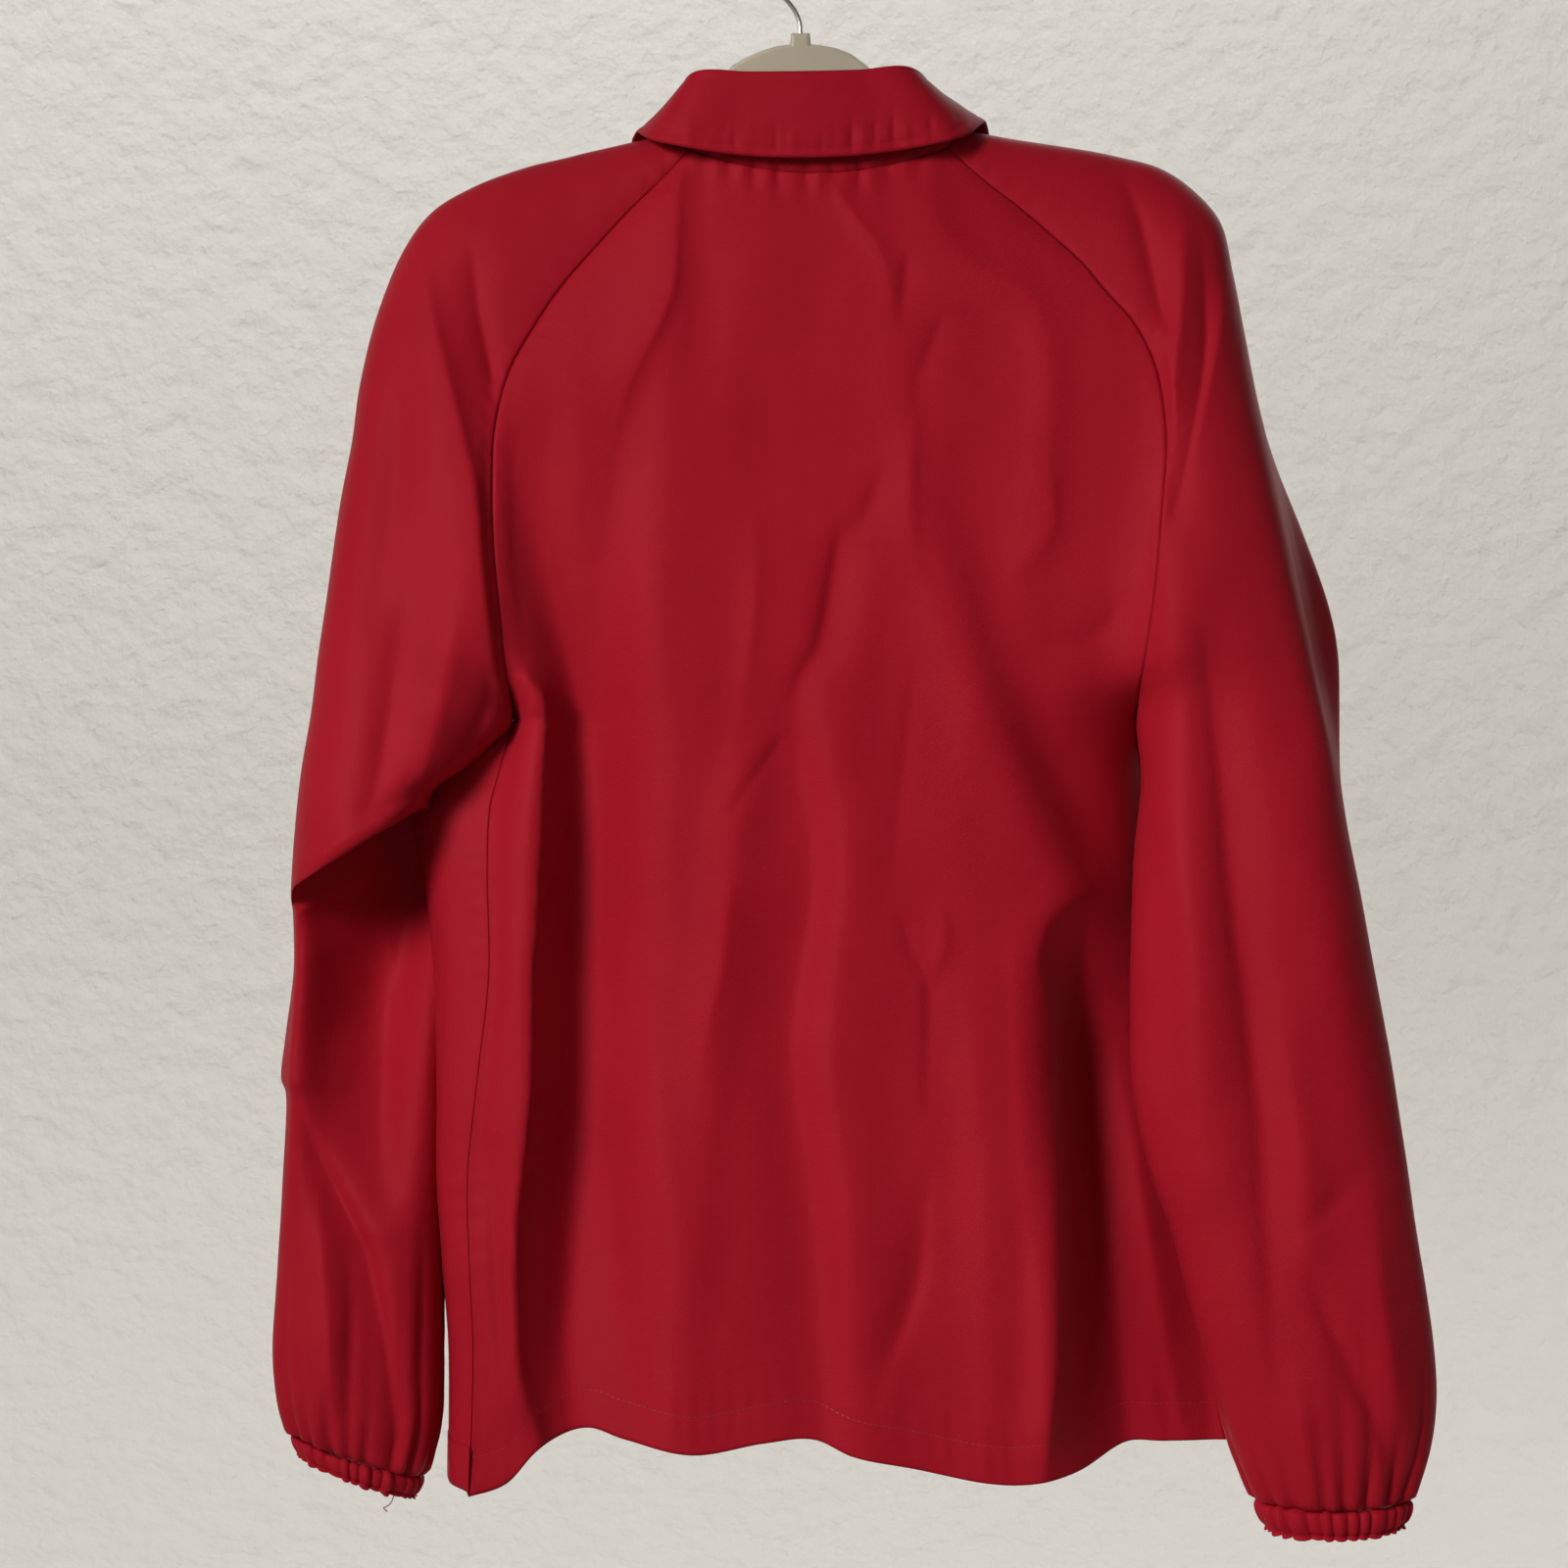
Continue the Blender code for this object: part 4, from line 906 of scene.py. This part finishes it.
roll = fold + outward * ROLL * (1 - np.cos(turn)) + lift_up * ROLL * 0.9 * np.sin(turn)
down = np.linspace(0, 1, FALL_ROWS)[:, None, None]
top = fold + outward * 2 * ROLL
fall = top + (edge - top) * down + FALL_CURVE * np.sin(np.pi * down) * outward
fall_run = lengths(fall, 0)
above_edge = fall_run[-1:] - fall_run
along = lengths(fall, 1)
wave = 0.0005 * ripple(along, fall_run, 70, 0.05)
wave += 0.0003 * pucker(along[-1:], np.abs(above_edge - COLLAR_STITCH - 0.002), 0.009, 0.006, 71)
wave += groove(above_edge - COLLAR_STITCH, *COLLAR_GROOVE)
at_back = smooth(-0.02, -0.03, fall[..., 1])
for dent_x, dent_width, depth, high in COLLAR_DENTS:
    beside = bell(fall[..., 0] - dent_x * MM, dent_width * MM)
    wave += at_back * depth * MM * beside * bell(above_edge - high * 0.5 * MM - 0.003, high * 0.6 * MM)
fall = fall + outward * (wave * smooth(0, 0.004, fall_run))[..., None]
# The edge is turned in, and its last rows lie close behind the fall.
fall_edge = fall[-1:] - outward * 0.0011
turned = np.concatenate([fall_edge + (lift_up * 0.0006), fall[-4:-12:-3] - outward * 0.0012])
collar_grid = np.concatenate([stand, roll, fall, turned])
made = cloth_mesh("nylon_collar", collar_grid, -1, red_nylon, wall=COLLAR_WALL)
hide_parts("collar_stand", "collar_fall")

# ---------------------------------------------------------------------------
# The snaps: six enamelled caps down the closure, rolled steel painted to match
# the cloth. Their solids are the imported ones.
# ---------------------------------------------------------------------------
ENAMEL = (0.30, 0.010, 0.020)
enamel, tree, shader = new_material(
    "enamelled_cap", Roughness=0.42, Specular_IOR_Level=0.2, Base_Color=(*ENAMEL, 1)
)
tree.links.new(bump(tree, grain(tree, object_place(tree), 500, 2), 0.00005, 0.3), shader.inputs["Normal"])
for number in range(1, 7):
    finish_solid(f"snap_{number}", enamel)

# ---------------------------------------------------------------------------
# The stitching: one row of thread 20 mm above the hem, one near the collar's
# edge and one down each front, each stitch a short spindle lying in the cloth.
# ---------------------------------------------------------------------------
STITCH = 0.0026
STITCH_GAP = 0.0006
THREAD = 0.00024
THREAD_RED = (0.34, 0.010, 0.020)
LOW_ROWS = 70  # rows of a panel that surely hold its hem's stitches


def stitch_rows(name, paths, outs, material):
    """Spindles laid end to end along each path: four-sided, thick in the middle, sunk at
    both ends; one every stitch and gap of the path's own length."""
    vertices, faces = [], []
    profile = np.array([(-0.5, 0.25, -0.6), (-0.3, 0.9, 0.2), (0.3, 0.9, 0.2), (0.5, 0.25, -0.6)])
    turn = np.arange(4) * np.pi / 2 + np.pi / 4
    for path, out in zip(paths, outs):
        run = lengths(path, 0)
        centres = np.arange(STITCH, run[-1] - STITCH, STITCH + STITCH_GAP)
        middle = points_along(path, run, centres)
        ahead = points_along(path, run, centres + 0.001) - middle
        ahead /= np.linalg.norm(ahead, axis=1)[:, None]
        away = points_along(out, run, centres)
        sideways = np.cross(ahead, away)
        for offset, thick, height in profile:
            ringed = (
                middle[:, None] + ahead[:, None] * offset * STITCH + away[:, None] * THREAD * height
                + sideways[:, None] * (THREAD * thick * np.cos(turn))[None, :, None]
                + away[:, None] * (THREAD * thick * np.sin(turn))[None, :, None]
            )
            vertices.append(ringed.reshape(-1, 3))
        count, start = len(centres), sum(len(v) for v in vertices) - 4 * 4 * len(centres)
        for band in range(3):
            a = start + band * 4 * count + np.arange(4 * count).reshape(count, 4)
            b = a + 4 * count
            quads = np.stack([a, np.roll(a, -1, 1), np.roll(b, -1, 1), b], axis=-1)
            faces.append(quads.reshape(-1, 4))
        first = start + np.arange(4 * count).reshape(count, 4)
        faces.append(first[:, ::-1])
        faces.append(first + 3 * 4 * count)
    mesh = bpy.data.meshes.new(name)
    mesh.from_pydata(np.concatenate(vertices).tolist(), [], np.concatenate(faces).tolist())
    mesh.materials.append(material)
    made = in_scene(name, mesh)
    builder = bmesh.new()
    builder.from_mesh(mesh)
    bmesh.ops.recalc_face_normals(builder, faces=builder.faces)
    builder.to_mesh(mesh)
    builder.free()
    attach(made, "root")


def row_at(grid, heights, wanted):
    """The grid's line at one height: in each column, between the two rows on either side."""
    line = []
    for column in range(grid.shape[1]):
        order = np.argsort(heights[:, column])
        line.append(points_along(grid[order, column], heights[order, column], [wanted])[0])
    return np.array(line)


polyester, tree, shader = new_material(
    "polyester_thread", Roughness=0.5, Sheen_Weight=0.2, Base_Color=(*THREAD_RED, 1)
)
twist = grain(tree, object_place(tree), 2500, 2)
tree.links.new(bump(tree, twist, 0.0001, 0.4), shader.inputs["Normal"])
paths, outs = [], []
for grid, way in ((back_grid, -1), (front_grids["left"], 1), (front_grids["right"], 1)):
    heights = lengths_left(grid, 0)
    path = row_at(grid[-LOW_ROWS:], heights[-LOW_ROWS:], HEM_TURN)
    paths.append(path)
    outs.append(np.tile([0.0, way, 0.0], (len(path), 1)))
paths.append(row_at(fall, np.abs(above_edge), COLLAR_STITCH))
outs.append(outward)
for side in ("left", "right"):
    grid = front_grids[side]
    path = row_at(grid.transpose(1, 0, 2), lengths_left(grid, 1).T, 2 * LAP)
    paths.append(path)
    outs.append(np.tile([0.0, 1.0, 0.0], (len(path), 1)))
stitch_rows("edge_stitching", paths, outs, polyester)

# ---------------------------------------------------------------------------
# A loose end of thread, about 8 mm, that hangs from the left cuff as in the
# photograph. It is the same polyester as the stitching.
# ---------------------------------------------------------------------------
# x, y, drop
LOOSE_END = ((-213, -57, 834), (-214, -60, 837), (-216, -61, 839), (-218, -61, 840), (-216, -61, 842))
LOOSE_RADIUS = 0.0003

curve = bpy.data.curves.new("loose_thread", "CURVE")
curve.dimensions = "3D"
curve.bevel_depth = LOOSE_RADIUS
curve.bevel_resolution = 1
curve.use_fill_caps = True
route = evenly(LOOSE_END, 30) * MM
spline = curve.splines.new("POLY")
spline.points.add(len(route) - 1)
for point, (x, y, drop) in zip(spline.points, route):
    point.co = (x, y, -drop, 1)
curve.materials.append(polyester)
loose = in_scene("loose_thread", curve)
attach(loose, "root")

# ---------------------------------------------------------------------------
# The room: a plain pale floor that curves up all round into a pale plaster
# wall. Daylight comes from a window on the left of the view; a second one
# lights the far wall, and a weak one lights the jacket's front.
# ---------------------------------------------------------------------------
ROOM_RADIUS = 4.2
FLOOR_Z = -1.5
WALL_TOP = 3.0
WALL_CURVE = 1.0
ROOM_AROUND = 96
ROOM_GREY = (0.86, 0.845, 0.81)

profile = [(0.0, FLOOR_Z), (ROOM_RADIUS - WALL_CURVE, FLOOR_Z)]
bend = np.linspace(0, np.pi / 2, 16)
for a in bend[1:]:
    profile.append((ROOM_RADIUS - WALL_CURVE * (1 - math.sin(a)), FLOOR_Z + WALL_CURVE * (1 - math.cos(a))))
profile.append((ROOM_RADIUS, WALL_TOP))
profile = np.array(profile)
turns = np.linspace(0, 2 * np.pi, ROOM_AROUND + 1)[:-1]
points = np.stack([
    profile[:, 0][:, None] * np.cos(turns), profile[:, 0][:, None] * np.sin(turns),
    np.repeat(profile[:, 1][:, None], len(turns), 1),
], axis=-1)
index = np.arange(points.shape[0] * points.shape[1]).reshape(points.shape[:2])
following = np.roll(index, -1, 1)
quads = np.stack([index[:-1], following[:-1], following[1:], index[1:]], axis=-1).reshape(-1, 4)
mesh = bpy.data.meshes.new("room")
mesh.from_pydata(points.reshape(-1, 3).tolist(), [], quads.tolist())
mesh.shade_smooth()
plaster, tree, shader = new_material("pale_plaster", Roughness=0.9, Base_Color=(*ROOM_GREY, 1))
place = object_place(tree)
stipple = bump(tree, grain(tree, place, 26, 5), 0.02, 0.55)
tree.links.new(bump(tree, grain(tree, place, 70, 3), 0.006, 0.5, stipple), shader.inputs["Normal"])
mesh.materials.append(plaster)
room = in_scene("room", mesh)


def soft_light(name, place, target, size, watts, colour, degrees_wide=180):
    """A square area light that looks at its target, its beam narrowed to an angle."""
    data = bpy.data.lights.new(name, "AREA")
    data.size = size
    data.energy = watts
    data.color = colour
    data.spread = np.radians(degrees_wide)
    light = in_scene(name, data)
    light.location = place
    light.rotation_euler = (Vector(target) - Vector(place)).to_track_quat("-Z", "Y").to_euler()


JACKET_MIDDLE, LOWER_BACK, FAR_WALL = (0, 0, -0.45), (0.15, 0, -0.56), (-0.3, ROOM_RADIUS, -0.5)
soft_light("window", (-2.30, -3.15, 0.95), LOWER_BACK, size=1.3, watts=5.8,
           colour=(1.0, 0.985, 0.97), degrees_wide=32)
soft_light("wall_window", (-0.3, 1.6, 2.6), FAR_WALL, size=2.0, watts=56,
           colour=(1.0, 0.985, 0.96), degrees_wide=140)
soft_light("front_side", (1.2, 2.8, 1.2), JACKET_MIDDLE, size=2.2, watts=20, colour=(1.0, 0.98, 0.95))
world = bpy.data.worlds.new("daylight")
world.use_nodes = True
sky = world.node_tree.nodes["Background"]
sky.inputs["Color"].default_value = (0.95, 0.97, 1.0, 1)
sky.inputs["Strength"].default_value = 0.05
bpy.context.scene.world = world
